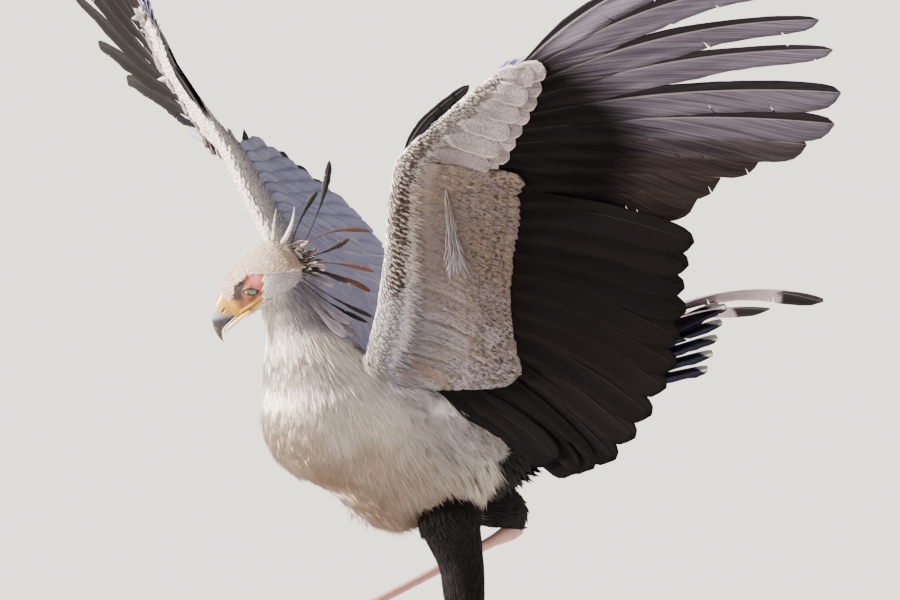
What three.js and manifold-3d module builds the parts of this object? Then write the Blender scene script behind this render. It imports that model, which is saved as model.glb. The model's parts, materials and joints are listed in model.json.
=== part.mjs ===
// A secretary bird as a still, life-size display model on a wooden plate. Millimetres, +Z up.
// The bird faces -Y, its own left is +X, and the origin is the centre of the plate's underside.
// It stands on its left leg with both wings thrown up and its right leg lifted in a stride.
import * as THREE from "three";
import { mergeVertices } from "three/addons/utils/BufferGeometryUtils.js";
import Module from "manifold-3d";

const wasm = await Module();
wasm.setup();

// Gap left between two nodes that meet
const GAP = 0.3;

// The plate the bird stands on
const PLATE = { wide: 320, long: 430, thick: 18, corner: 26, edge: 3 };

// Shoulders
const SHOULDER = { x: 70, y: -163, z: 638 };

// Head: centre of the skull, turn to the bird's right and droop of the bill, degrees
const HEAD = { y: -294, z: 743, turn: 31, droop: 38 };
const EYE = { forward: 23, up: -5.5, side: 11.6, radius: 10.8 };

// Nodes' colours
const COLOUR = {
  breast: 0xe6ded4,
  neck: 0xc9c3c6,
  head: 0xe3cdb4,
  bill: 0xb9b6a8,
  eye: 0xb9a877,
  wing: 0x9b96a3,
  black: 0x1c1a1f,
  skin: 0xcf9a92,
  claw: 0x2a2523,
  wood: 0x6b4930,
};

const V = (x, y, z) => new THREE.Vector3(x, y, z);
const rad = THREE.MathUtils.degToRad;
const lerp = THREE.MathUtils.lerp;
const smooth = THREE.MathUtils.smoothstep;

// Seeded random number between -1 and 1
let seed = 7;
function jitter() {
  seed = (seed * 16807) % 2147483647;
  return (seed / 2147483647) * 2 - 1;
}

// A value read from a table of [position, value] rows
function read(table, at) {
  if (at <= table[0][0]) return table[0][1];
  for (let i = 1; i < table.length; i++) {
    if (at <= table[i][0]) {
      const share = (at - table[i - 1][0]) / (table[i][0] - table[i - 1][0]);
      return lerp(table[i - 1][1], table[i][1], share);
    }
  }
  return table[table.length - 1][1];
}

// A solid from points and faces, turned outward if it was wound inward
function solidFrom(points, faces) {
  let volume = 0;
  for (let i = 0; i < faces.length; i += 3) {
    const [a, b, c] = [points[faces[i]], points[faces[i + 1]], points[faces[i + 2]]];
    volume += a.dot(b.clone().cross(c));
  }
  const turned = volume < 0 ? faces.slice().reverse() : faces;
  return new wasm.Manifold(
    new wasm.Mesh({
      numProp: 3,
      vertProperties: new Float32Array(points.flatMap((p) => [p.x, p.y, p.z])),
      triVerts: new Uint32Array(turned),
    }),
  );
}

// A solid from one of the library's own shapes
function solidOf(geometry) {
  geometry.deleteAttribute("normal");
  geometry.deleteAttribute("uv");
  const merged = mergeVertices(geometry, 1e-4);
  return new wasm.Manifold(
    new wasm.Mesh({
      numProp: 3,
      vertProperties: merged.attributes.position.array,
      triVerts: new Uint32Array(merged.index.array),
    }),
  );
}

// A closed skin over rings of equal length, flat at both ends
function skin(rings, mirrored = () => false) {
  const n = rings[0].length;
  const faces = [];
  for (let i = 0; i + 1 < rings.length; i++) {
    for (let j = 0; j < n; j++) {
      const a = i * n + j;
      const b = i * n + ((j + 1) % n);
      if (mirrored(j)) faces.push(a, b, a + n, b, b + n, a + n);
      else faces.push(a, b, b + n, a, b + n, a + n);
    }
  }
  const last = (rings.length - 1) * n;
  for (let j = 1; j + 1 < n; j++) {
    faces.push(0, j + 1, j);
    faces.push(last, last + j, last + j + 1);
  }
  return solidFrom(rings.flat(), faces);
}

// A ring through a top and a bottom point, as wide as the side vector each way
function ring(top, bottom, side, n = 16, square = 1) {
  const centre = top.clone().add(bottom).multiplyScalar(0.5);
  const half = top.clone().sub(bottom).multiplyScalar(0.5);
  const shape = (v) => Math.sign(v) * Math.abs(v) ** square;
  return Array.from({ length: n }, (_, i) => {
    const angle = (i / n) * Math.PI * 2;
    return centre
      .clone()
      .addScaledVector(half, shape(Math.cos(angle)))
      .addScaledVector(side, shape(Math.sin(angle)));
  });
}

// A round limb through [point, radius] rows
function limb(rows, n = 10, hint = V(1, 0, 0)) {
  const rings = rows.map(([p, r], i) => {
    const from = rows[Math.max(0, i - 1)][0];
    const to = rows[Math.min(rows.length - 1, i + 1)][0];
    const way = to.clone().sub(from).normalize();
    const side = hint.clone().addScaledVector(way, -hint.dot(way)).normalize();
    const up = way.clone().cross(side);
    const top = p.clone().addScaledVector(up, r);
    const bottom = p.clone().addScaledVector(up, -r);
    return ring(top, bottom, side.multiplyScalar(r), n);
  });
  return skin(rings);
}

function ball(centre, radius, across = 14) {
  const shape = new THREE.SphereGeometry(radius, across, Math.round(across * 0.6));
  shape.translate(centre.x, centre.y, centre.z);
  return solidOf(shape);
}

function union(solids) {
  return solids.slice(1).reduce((sum, s) => sum.add(s), solids[0]);
}

function largest(solid) {
  return solid.decompose().reduce((best, s) => (s.volume() > best.volume() ? s : best));
}

// The part of a solid on the far side of a plane given by a point and its normal, less half a gap
function beyond(solid, point, normal) {
  const n = normal.clone().normalize();
  return solid.trimByPlane([n.x, n.y, n.z], n.dot(point) + GAP / 2);
}

// Widths and thicknesses along a feather: [share of length, width, thickness]
const FLIGHT = [
  [0, 0.13, 1.5],
  [0.14, 0.34, 1.4],
  [0.36, 1, 1.1],
  [0.92, 0.9, 0.8],
  [1, 0.36, 0.5],
];
const FINGERED = [
  [0, 0.13, 1.5],
  [0.13, 0.36, 1.4],
  [0.32, 1, 1.1],
  [0.6, 0.96, 1],
  [0.72, 0.76, 0.9],
  [0.95, 0.56, 0.8],
  [1, 0.14, 0.5],
];
const STALKED = [
  [0, 0, 1.8],
  [0.45, 0, 1.4],
  [0.68, 0.7, 1.1],
  [0.86, 1, 0.9],
  [1, 0.2, 0.5],
];
const COVERT = [
  [0, 0.5, 1],
  [0.42, 1, 0.9],
  [0.86, 0.84, 0.8],
  [1, 0.3, 0.5],
];

// A feather: a thin tapering blade. line(s) is its shaft, up the way its upper face looks, lead and
// trail its widths to each side. hand says which side leads, and tilt raises the leading edge, as
// tiles lie. A feather with a ridge is thicker along its shaft.
function feather({ line, up, lead, trail, profile, hand = 1, tilt = 0, arch = 0, ridge = 0 }) {
  const flat = ridge === 0;
  const rings = profile.map(([s, width, thick]) => {
    const p = line(s);
    const way = line(Math.min(1, s + 0.03)).sub(line(Math.max(0, s - 0.03))).normalize();
    const side = way.clone().cross(up).normalize().multiplyScalar(hand);
    const face = up.clone().addScaledVector(way, -up.dot(way)).normalize();
    const turn = new THREE.Quaternion().setFromAxisAngle(way, tilt * -hand);
    side.applyQuaternion(turn);
    face.applyQuaternion(turn);
    const at = (across, high) => p.clone().addScaledVector(side, across).addScaledVector(face, high);
    const [l, t, e] = [lead * width, -trail * width, thick / 2];
    if (flat) return [at(l, e), at(t, e), at(t, -e), at(l, -e)];
    const drop = arch * width;
    const mid = e * ridge;
    const above = [at(l, e - drop), at(0, mid), at(t, e - drop)];
    return [...above, at(t, -e - drop), at(0, -mid), at(l, -e - drop)];
  });
  return skin(rings, (j) => (flat ? j === 2 : j === 3 || j === 4));
}

// The camera's directions: across the picture, up it, and towards the viewer
const VIEW = { turn: rad(55), lift: rad(4) };
const ACROSS = V(Math.cos(VIEW.turn), Math.sin(VIEW.turn), 0);
const TOWARDS = V(
  Math.sin(VIEW.turn) * Math.cos(VIEW.lift),
  -Math.cos(VIEW.turn) * Math.cos(VIEW.lift),
  Math.sin(VIEW.lift),
);
const UPWARD = TOWARDS.clone().cross(ACROSS);

// Torso: [y, top, bottom, half width]
const TORSO = [
  [-279, 596, 572, 14],
  [-272, 622, 534, 42],
  [-255, 640, 496, 64],
  [-228, 650, 466, 78],
  [-190, 653, 446, 86],
  [-140, 650, 436, 88],
  [-80, 642, 434, 84],
  [-20, 630, 446, 74],
  [35, 616, 470, 60],
  [80, 602, 500, 46],
  [116, 590, 528, 32],
];

function torsoFlesh(grow = 0) {
  const rings = TORSO.map(([y, top, bottom, half], i) => {
    const out = i === 0 ? -grow : i === TORSO.length - 1 ? grow : 0;
    return ring(V(0, y + out, top + grow), V(0, y + out, bottom - grow), V(half + grow, 0, 0), 20, 0.88);
  });
  return skin(rings);
}

// Neck: [y, z, radius fore and aft, radius across]
const NECK = [
  [-205, 600, 50, 50],
  [-222, 632, 52, 52],
  [-238, 660, 44, 43],
  [-249, 684, 35, 34],
  [-260, 706, 28, 27],
  [-268, 722, 24, 22],
  [-272, 734, 20, 19],
];

function neckFlesh(grow = 0) {
  const tilt = V(0, 0.9, 0.42).normalize();
  const rings = NECK.map(([y, z, fore, wide]) => {
    const front = V(0, y, z).addScaledVector(tilt, -fore - grow);
    const back = V(0, y, z).addScaledVector(tilt, fore + grow);
    return ring(back, front, V(wide + grow, 0, 0), 16);
  });
  return skin(rings);
}

// The head's own directions
const HEAD_CENTRE = V(0, HEAD.y, HEAD.z);
const facing = V(-Math.sin(rad(HEAD.turn)), -Math.cos(rad(HEAD.turn)), 0);
const HEAD_SIDE = V(Math.cos(rad(HEAD.turn)), -Math.sin(rad(HEAD.turn)), 0);
const HEAD_FORE = facing.clone().multiplyScalar(Math.cos(rad(HEAD.droop)));
HEAD_FORE.z = -Math.sin(rad(HEAD.droop));
const HEAD_UP = HEAD_SIDE.clone().cross(HEAD_FORE).negate();

// A point given in the head's own directions
function onHead(fore, up, side = 0) {
  return HEAD_CENTRE.clone()
    .addScaledVector(HEAD_FORE, fore)
    .addScaledVector(HEAD_UP, up)
    .addScaledVector(HEAD_SIDE, side);
}

// A loft along the head from rows of [fore top, up top, fore bottom, up bottom, half width]
function headLoft(rows, n = 12, square = 1) {
  return skin(
    rows.map(([ft, ut, fb, ub, half]) =>
      ring(onHead(ft, ut), onHead(fb, ub), HEAD_SIDE.clone().multiplyScalar(half), n, square),
    ),
  );
}

const SKULL = [
  [-47, 2, -46, -18, 8],
  [-43, 14, -41, -28, 17],
  [-33, 26, -31, -34, 23],
  [-20, 31, -18, -35, 26],
  [-5, 32, -3, -34, 27],
  [10, 31, 11, -31, 25.5],
  [22, 29, 23, -29, 22.5],
  [34, 26.5, 34, -27.5, 18],
  [45, 21.5, 44, -26.8, 13.5],
  [53, 16, 52, -26.4, 10.8],
  [57, 13, 56, -26, 9.8],
];

const BILL_UPPER = [
  [50, 17, 50, -19.4, 10.2],
  [61, 11, 61, -19.8, 8.8],
  [69.5, 6, 69, -20.4, 7.4],
  [76.5, 0.5, 74.5, -21.2, 6],
  [82, -6.5, 78.3, -22.4, 4.7],
  [85.6, -14.5, 80.8, -24.6, 3.4],
  [87.3, -22.5, 83, -28, 2.3],
  [87.6, -29.5, 85.2, -31.6, 1.2],
  [87, -35.2, 86.6, -35.4, 0.35],
];

const BILL_LOWER = [
  [38, -20.6, 38, -27.2, 11.4],
  [52, -20.8, 52, -27.6, 9.4],
  [64, -21.2, 63.5, -27.6, 7.4],
  [72, -22.4, 71, -28.2, 5.4],
  [76.6, -24.2, 76, -28.4, 3.2],
  [78.6, -26, 78.4, -28, 1],
];

// Crest: [root fore, root up, tip fore, tip up, half width, bow, slant to the left, stalk's share
// of the full width]. A small stalk makes a spoon-shaped feather.
const CREST = [
  [-33, 27, -47, 50, 2.4, 1, 4, 0.9],
  [-41, 18, -83, 42, 2.8, 2, 3, 0.8],
  [-38, 22, -64, 52, 2.6, 2, -9, 0.8],
  [-44, -14, -151, 60, 5.8, 5, 6, 0.24],
  [-44, -8, -116, 38, 4.2, 4, -4, 0.4],
  [-44, -6, -111, -32, 3.8, -5, -12, 0.5],
  [-44, -10, -137, -42, 4, 12, -20, 0.4],
  [-44, -14, -110, -82, 4, 4, -9, 0.4],
  [-40, -16, -77, -72, 4.2, 2, 0, 0.5],
  [-38, -20, -62, -64, 4.6, 1, 12, 0.7],
  [-38, -22, -75, -124, 5, -3, 4, 0.2],
  [-36, -24, -66, -126, 5, -4, -3, 0.2],
  [-34, -26, -50, -113, 8, -3, 9, 0.5],
  [-34, -28, -36, -122, 8.5, -3, 14, 0.5],
  [-34, -26, -45, -130, 9, -2, -8, 0.5],
  [-40, -16, -92, -100, 5, 3, -18, 0.4],
];

// One feather of the crest
function crestFeather([rf, ru, tf, tu, half, bow, slant, stalk]) {
  const root = onHead(lerp(rf, -20, 0.3), lerp(ru, 0, 0.25), slant * 0.3);
  const tip = onHead(tf, tu, slant);
  const way = tip.clone().sub(root);
  const lift = HEAD_SIDE.clone().cross(way).normalize();
  const line = (s) =>
    root.clone().addScaledVector(way, s).addScaledVector(lift, 4 * bow * s * (1 - s));
  const profile = STALKED.map(([s, wide, thick]) => [s, s < 1 ? lerp(stalk, 1, wide) : wide, thick]);
  return feather({ line, up: HEAD_SIDE, lead: half, trail: half, profile });
}

// An almond-shaped prism that opens the lids over one eye, turned as the slit of the eye is
const SLIT = { turn: 30, half: 9.8, above: 5.6, below: 4.6 };
function lidOpening(side) {
  const turn = rad(SLIT.turn);
  const outline = Array.from({ length: 10 }, (_, i) => {
    const angle = (i / 10) * Math.PI * 2;
    const f = SLIT.half * Math.cos(angle);
    const u = Math.sin(angle) * (Math.sin(angle) > 0 ? SLIT.above : SLIT.below);
    return [f * Math.cos(turn) - u * Math.sin(turn), f * Math.sin(turn) + u * Math.cos(turn)];
  });
  const at = (reach) =>
    outline.map(([f, u]) => onHead(EYE.forward + f, EYE.up + u, side * reach));
  return skin([at(EYE.side + 3), at(EYE.side + 24)]);
}

// Brow ridge over one eye: [fore, up, out to the side, radius]
const BROW = [
  [42, 13, 8, 1.6],
  [34, 14.5, 13, 2.8],
  [24, 13, 17.6, 3.6],
  [12, 10.5, 20.6, 3.4],
  [0, 4, 23, 1.8],
];

function buildHead() {
  let head = headLoft(SKULL, 16, 0.94);
  const centre = (side) => onHead(EYE.forward, EYE.up, side * EYE.side);
  for (const side of [1, -1]) {
    const brow = limb(BROW.map(([f, u, out, r]) => [onHead(f, u, side * out), r]), 7, HEAD_UP);
    head = head.add(ball(centre(side), EYE.radius + 1.9, 12)).add(brow);
  }
  for (const side of [1, -1]) {
    head = head.subtract(lidOpening(side)).subtract(ball(centre(side), EYE.radius + GAP, 12));
  }
  return head;
}

// A nostril: a narrow slot through the base of the upper bill
function nostril() {
  const at = (out) => [[60, -2.4], [67, -4.4], [67, -6], [60, -4.6]].map(([f, u]) => onHead(f, u, out));
  return skin([at(-20), at(20)]);
}

// The slit of the mouth, run back into the cheek
function mouthSlit() {
  return skin([
    [onHead(62, -19.6, 20), onHead(62, -20.6, 20), onHead(62, -20.6, -20), onHead(62, -19.6, -20)],
    [onHead(36, -19.6, 26), onHead(36, -20.6, 26), onHead(36, -20.6, -26), onHead(36, -19.6, -26)],
  ]);
}

// Both wings, measured in the plane of each from the shoulder: [along the chord, up the wing].
// lead and rear are the edges of the flesh at ten stations, shoulder first, wrist at station four.
// primaryTips runs outward and trailing inward. turns gives the chord's turn along the stations,
// and lean how far the wing leans outward at each height.
const pairs = (...values) => values.flatMap((v, i) => (i % 2 ? [] : [[v, values[i + 1]]]));
const WRIST = 4 / 9;
const LEFT_WING = {
  side: 1,
  out: TOWARDS,
  rise: UPWARD,
  lean: [[-200, -58], [0, 0], [700, 336]],
  turns: [[0, 55], [1, 55]],
  lead: pairs(-22, 6, -8, 62, 1, 125, 5, 190, 14, 243, 40, 273, 72, 299, 104, 326, 137, 350, 152, 361),
  rear: pairs(62, -32, 100, 20, 98, 85, 86, 165, 80, 214, 92, 240, 110, 268, 130, 297, 148, 327, 158, 350),
  primaryTips: [
    ...pairs(378, 187, 402, 211, 448, 234, 509, 252, 546, 276),
    ...pairs(555, 313, 545, 367, 528, 403, 500, 450, 462, 486),
  ],
  trailing: [
    ...pairs(377, 160, 373, 115, 367, 72, 356, 16, 343, -29),
    ...pairs(311, -78, 274, -117, 240, -126, 203, -104),
  ],
};
const RIGHT_WING = {
  side: -1,
  out: V(-Math.sin(rad(52)), -Math.cos(rad(52)), 0),
  rise: V(0, 0, 1),
  lean: [[-200, -62], [0, 0], [141, 58], [246, 113], [285, 144], [349, 191], [424, 228], [700, 350]],
  turns: pairs(0, 62, 0.25, 59, 0.333, 54, 0.39, 48.5, 0.44, 42.5, 0.454, 23, 0.5, 19.5, 1, 21),
  lead: pairs(-22, 6, -14, 62, -14, 130, -15, 200, -15, 268, -20, 304, -20, 340, -18, 376, -14, 408, -10, 424),
  rear: pairs(62, -24, 94, 30, 88, 92, 76, 170, 64, 236, 54, 276, 42, 314, 28, 354, 12, 390, 0, 418),
  primaryTips: [
    ...pairs(362, 275, 382, 298, 408, 340, 424, 402, 420, 462),
    ...pairs(388, 521, 338, 582, 284, 630, 222, 662, 160, 670),
  ],
  trailing: [
    ...pairs(352, 262, 354, 216, 350, 168, 342, 118, 326, 66),
    ...pairs(292, 12, 252, -36, 220, -58, 190, -50),
  ],
};

// Half the thickness of the wing's flesh at the ten stations, near the front and at the rear edge
const WING_THICK = [22, 21, 19, 17, 15, 13, 11.5, 10, 7.5, 3.5];
const WING_REAR = [6, 6.5, 6.5, 6.5, 6, 5.6, 5.2, 4.6, 3.6, 2];
const LAST = WING_THICK.length - 1;

// A value from a list, read between its entries at a share of its length
function between(list, share) {
  const at = Math.min(Math.max(share, 0), 1) * (list.length - 1);
  const i = Math.min(Math.floor(at), list.length - 2);
  const [a, b] = [list[i], list[i + 1]];
  return Array.isArray(a) ? a.map((v, k) => lerp(v, b[k], at - i)) : lerp(a, b, at - i);
}

const chord = (wing, station) => {
  const turn = rad(read(wing.turns, station));
  return V(wing.side * Math.cos(turn), Math.sin(turn), 0);
};

// The way the back of the wing looks at a station
function wingBack(wing, station) {
  const up = wing.rise.clone().addScaledVector(wing.out, 0.5);
  return up.cross(chord(wing, station)).normalize().multiplyScalar(wing.side);
}

// Where a wing's own measures lie in space
function onWing(wing, station, [a, b], high = 0) {
  return V(wing.side * SHOULDER.x, SHOULDER.y, SHOULDER.z)
    .addScaledVector(chord(wing, station), a)
    .addScaledVector(wing.rise, b)
    .addScaledVector(wing.out, read(wing.lean, b))
    .addScaledVector(wingBack(wing, station), high);
}

// Half the thickness of the flesh at a station, a share of the way from its front to its rear
function fleshHalf(station, share) {
  const [thick, rear] = [between(WING_THICK, station), between(WING_REAR, station)];
  const blunt = [[0, thick * 0.35], [0.12, thick * 0.85], [0.36, thick]];
  return read([...blunt, [0.7, lerp(rear, thick, 0.5)], [1, rear]], share);
}

// The flesh of a wing: rounded in front, a blunt wedge behind, its root run into the body
function wingFlesh(wing) {
  const shares = [0, 0.12, 0.36, 0.7, 1];
  const rings = wing.lead.map((front, i) => {
    const station = i / LAST;
    const at = (share, face) => {
      const point = front.map((v, k) => lerp(v, wing.rear[i][k], share));
      return onWing(wing, station, point, face * fleshHalf(station, share));
    };
    return [...shares.map((s) => at(s, 1)), ...shares.map((s) => at(s, -1)).reverse()];
  });
  const inside = rings[0].map((p) => p.clone().add(V(-wing.side * 58, 10, -34)));
  return skin([inside, ...rings], (j) => j > 4);
}

// The station at a share of the length of the flesh's rear edge, between two stations
function evenly(wing, from, to, share) {
  const steps = 40;
  const at = (k) => V(...between(wing.rear, lerp(from, to, k / steps)), 0);
  const sizes = Array.from({ length: steps }, (_, k) => at(k + 1).distanceTo(at(k)));
  let left = share * sizes.reduce((sum, v) => sum + v, 0);
  let k = 0;
  while (k < steps - 1 && left > sizes[k]) {
    left -= sizes[k];
    k += 1;
  }
  return lerp(from, to, (k + left / sizes[k]) / steps);
}

// Root and tip of the flight feather that grows at a station
function flightAt(wing, station) {
  const root = between(wing.rear, station);
  const out = (station - WRIST) / (0.95 - WRIST);
  if (station >= WRIST) return { root, tip: between(wing.primaryTips, out) };
  return { root, tip: between(wing.trailing, 1 - station / WRIST) };
}

// A feather of a wing. root and tip are in the wing's own measures, and the root is sunk into the
// flesh. high is its height off the wing's plane at its root and along its length.
function wingFeather(wing, station, root, tip, { sink, bow, droop, high, ...blade }) {
  const back = wingBack(wing, station);
  const way = [tip[0] - root[0], tip[1] - root[1]];
  const size = Math.hypot(...way);
  const line = (s) => {
    const t = s * (1 + sink / size) - sink / size;
    const side = (4 * bow * t * (1 - t)) / size;
    const point = [root[0] + way[0] * t - way[1] * side, root[1] + way[1] * t + way[0] * side];
    return onWing(wing, station, point, lerp(high[0], high[1], smooth(s, 0, 0.4)) - droop * t * t);
  };
  return feather({ line, up: back, hand: wing.side, ...blade });
}

// Flight feathers: how many, their widths either side of the shaft, and how they curve
const PRIMARY = { count: 10, lead: 13, trail: 26, tip: 11, bow: [12, 36], droop: -16, tilt: 0.15 };
const SECONDARY = { count: 14, lead: 15, trail: 26, bow: 10, droop: 24, tilt: 0.17 };

function primaries(wing) {
  return Array.from({ length: PRIMARY.count }, (_, i) => {
    const out = i / (PRIMARY.count - 1);
    const station = lerp(WRIST + 0.01, 0.95, out);
    const { root, tip } = flightAt(wing, station);
    const fingered = i > 5;
    return wingFeather(wing, station, root, tip, {
      sink: 13,
      bow: lerp(...PRIMARY.bow, out * out),
      droop: PRIMARY.droop,
      high: [0, 0],
      lead: fingered ? PRIMARY.tip : PRIMARY.lead,
      trail: PRIMARY.trail,
      profile: fingered ? FINGERED : FLIGHT,
      tilt: PRIMARY.tilt,
      arch: 0.8,
      ridge: 1.7,
    });
  });
}

function secondaries(wing) {
  return Array.from({ length: SECONDARY.count }, (_, i) => {
    const station = evenly(wing, WRIST, 0, (i + 0.8) / SECONDARY.count);
    const { root } = flightAt(wing, station);
    const tip = between(wing.trailing, (i + 0.5) / SECONDARY.count);
    const ragged = [tip[0] + 4 * jitter(), tip[1] + 2 * jitter()];
    return wingFeather(wing, station, root, ragged, {
      sink: 13,
      bow: SECONDARY.bow,
      droop: SECONDARY.droop,
      high: [0, 0],
      lead: SECONDARY.lead,
      trail: SECONDARY.trail,
      profile: FLIGHT,
      tilt: SECONDARY.tilt,
    });
  });
}

// Rows of coverts, over the flight feathers and under them: how far across the flesh they grow,
// how many there are, how far past the flesh they reach, half their width, and their height
const COVERTS = [
  { face: 1, share: 0.84, count: 14, reach: 66, half: 18, high: 5 },
  { face: 1, share: 0.5, count: 10, reach: 30, half: 22, high: 10.4 },
  { face: -1, share: 0.84, count: 14, reach: 62, half: 18, high: 8.6 },
  { face: -1, share: 0.5, count: 10, reach: 28, half: 22, high: 14 },
];

function covertRow(wing, { face, share, count, reach, half, high }) {
  return Array.from({ length: count }, (_, i) => {
    const station = evenly(wing, 0.04, 0.95, (i + 0.5) / count);
    const { root, tip } = flightAt(wing, station);
    const front = between(wing.lead, station);
    const start = front.map((v, k) => lerp(v, root[k], share));
    const way = root.map((v, k) => tip[k] - v);
    const size = Math.hypot(...way);
    const past = 1 - 0.45 * Math.exp(-((station - WRIST - 0.02) ** 2) / 0.003);
    const length = reach * (1 + 0.05 * jitter()) * lerp(1, 0.8, station) * past;
    const end = root.map((v, k) => v + (way[k] / size) * length);
    const low = fleshHalf(station, share) - 1.6;
    return wingFeather(wing, station, start, end, {
      sink: 3,
      bow: 3,
      droop: 0,
      high: [face * low, face * high],
      lead: half,
      trail: half,
      profile: COVERT,
      tilt: 0.12,
    });
  });
}

// The three feathers of the thumb, lying along the front of the hand
const ALULA = [
  { length: 112, half: 10, off: 5, high: 5 },
  { length: 92, half: 10, off: 8, high: 2 },
  { length: 70, half: 9, off: 10, high: -1 },
];

function alula(wing) {
  const station = WRIST + 0.04;
  const [from, to] = [between(wing.lead, station), between(wing.lead, station + 0.34)];
  const way = to.map((v, k) => v - from[k]);
  const size = Math.hypot(...way);
  const forward = [-way[1] / size, way[0] / size];
  return ALULA.map(({ length, half, off, high }) => {
    const root = from.map((v, k) => v - forward[k] * 6);
    const tip = from.map((v, k) => v + (way[k] / size) * length + forward[k] * off);
    return wingFeather(wing, station, root, tip, {
      sink: 6,
      bow: 6,
      droop: 0,
      high: [high * 0.6, high],
      lead: half * 0.6,
      trail: half,
      profile: COVERT,
      tilt: 0.2,
    });
  });
}

function buildWing(wing) {
  const rows = COVERTS.map((row) => covertRow(wing, row));
  return union([wingFlesh(wing), ...primaries(wing), ...secondaries(wing), ...rows.flat(), ...alula(wing)]);
}

// Tail: where its feathers grow, and the tips of the long middle pair, and of the innermost and
// outermost of the five pairs beside it: [to the side, y, z, arch]
const TAIL_ROOT = V(0, 132, 578);
const TAIL = {
  middle: [[-7, 555, 676, 54], [9, 461, 671, 34]],
  inner: [15, 388, 682, 8],
  outer: [60, 330, 610, 2],
};

function tailFeather([x, y, z, bow], drop, half) {
  const root = TAIL_ROOT.clone().add(V(x * 0.2, 0, 8 - drop));
  const way = V(x, y, z).sub(root);
  const line = (s) => root.clone().addScaledVector(way, s).add(V(0, 0, 4 * bow * s * (1 - s)));
  const slope = rad(x * 0.16);
  const up = V(Math.sin(slope), 0, Math.cos(slope));
  return feather({ line, up, lead: half, trail: half, profile: FLIGHT });
}

function buildTail() {
  const row = (y, top, bottom, wide) => ring(V(0, y, top), V(0, y, bottom), V(wide, 0, 0), 14);
  const stump = skin([
    row(84, 600, 506, 44),
    row(116, 598, 526, 38),
    row(150, 598, 548, 30),
    row(184, 600, 574, 21),
  ]);
  const vanes = TAIL.middle.map((tip, i) => tailFeather(tip, i * 2.3, 19));
  for (let i = 0; i < 5; i++) {
    for (const side of [1, -1]) {
      const tip = TAIL.inner.map((v, k) => lerp(v, TAIL.outer[k], i / 4));
      tip[0] *= side;
      tip[1] += side < 0 ? 10 : 0;
      vanes.push(tailFeather(tip, 4.6 + i * 2.6, 20));
    }
  }
  return union([stump, ...vanes]);
}

// Legs, each as [point, radius] from the hip to the heel, clothed in feathers
const LEFT_LEG = [
  [V(54, -60, 520), 46],
  [V(60, -62, 456), 43],
  [V(58, -40, 388), 31],
  [V(56, -32, 340), 27],
  [V(55, -24, 312), 17],
  [V(55, -23, 303), 9.5],
];
const RIGHT_LEG = [
  [V(-50, -90, 484), 44],
  [V(-60, -50, 462), 42],
  [V(-59, 10, 453), 37],
  [V(-51, 60, 447), 32],
  [V(-46, 95, 440), 28.5],
  [V(-45, 112, 420), 18],
  [V(-45, 116, 409), 10.5],
];
const TOES = { middle: 62, inner: 42, outer: 44, hind: 24 };

function buildThigh(rows, grow = 0) {
  return limb(rows.map(([p, r]) => [p, r + grow]), 14);
}

function buildTarsus(heel, foot) {
  const at = (share, off = 0) => heel.clone().lerp(foot, share).add(V(0, off, 0));
  return limb(
    [
      [at(-0.03), 9],
      [at(0.01), 10.5],
      [at(0.06), 9],
      [at(0.16), 6.4],
      [at(0.5), 5.6],
      [at(0.84), 6.2],
      [at(0.93), 8],
      [at(0.975), 9],
    ],
    10,
  );
}

// A foot: toes set out from its centre, each [direction, length, thickness], with a claw each
function buildFoot(centre, down, toes, curl) {
  const parts = [ball(centre.clone().addScaledVector(down, -8.4), 10, 10)];
  const claws = toes.map(([way, length, thick]) => {
    const side = way.clone().cross(down).normalize();
    const at = (reach, lift) =>
      centre
        .clone()
        .addScaledVector(way, reach)
        .addScaledVector(down, (curl * reach * reach) / length - thick * lift);
    const toe = limb(
      [
        [at(0, 1.3), thick],
        [at(length * 0.3, 0.96), thick * 0.94],
        [at(length * 0.6, 0.92), thick],
        [at(length * 0.86, 0.92), thick * 0.94],
        [at(length, 0.86), thick * 0.74],
        [at(length + 2, 0.86), thick * 0.5],
      ],
      7,
      side,
    );
    const claw = limb(
      [
        [at(length - 2, 1.02), thick * 0.56],
        [at(length + 4, 1.05), thick * 0.52],
        [at(length + 10, 0.85), thick * 0.36],
        [at(length + 15, 0.42), thick * 0.12],
      ],
      6,
      side,
    );
    const end = at(length, 0.9);
    const tip = at(length + 1, 0.9).sub(end);
    parts.push(beyond(toe, end, tip.clone().negate()));
    return beyond(claw, end, tip);
  });
  return { foot: union(parts), claws };
}

// The plate with eased edges
function buildPlate() {
  const outline = (inset) => {
    const points = [];
    const [w, l, c] = [PLATE.wide / 2 - inset, PLATE.long / 2 - inset, PLATE.corner - inset];
    for (let q = 0; q < 4; q++) {
      for (let k = 0; k <= 4; k++) {
        const angle = ((q + k / 4) * Math.PI) / 2;
        const cx = (q === 0 || q === 3 ? 1 : -1) * (w - c);
        const cy = (q < 2 ? 1 : -1) * (l - c);
        points.push([cx + c * Math.cos(angle), cy + c * Math.sin(angle)]);
      }
    }
    return points;
  };
  const level = (inset, z) => outline(inset).map(([x, y]) => V(x, y, z));
  return skin([
    level(1.2, 0),
    level(0, 1.2),
    level(0, PLATE.thick - PLATE.edge),
    level(PLATE.edge, PLATE.thick),
  ]);
}

const group = new THREE.Group();

function addNode(name, solid, colour) {
  const kept = largest(solid);
  const mesh = kept.getMesh();
  const geometry = new THREE.BufferGeometry();
  geometry.setAttribute("position", new THREE.BufferAttribute(mesh.vertProperties, 3));
  geometry.setIndex(new THREE.BufferAttribute(mesh.triVerts, 1));
  const made = new THREE.Mesh(geometry, new THREE.MeshStandardMaterial({ color: colour }));
  made.name = name;
  group.add(made);
}

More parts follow.
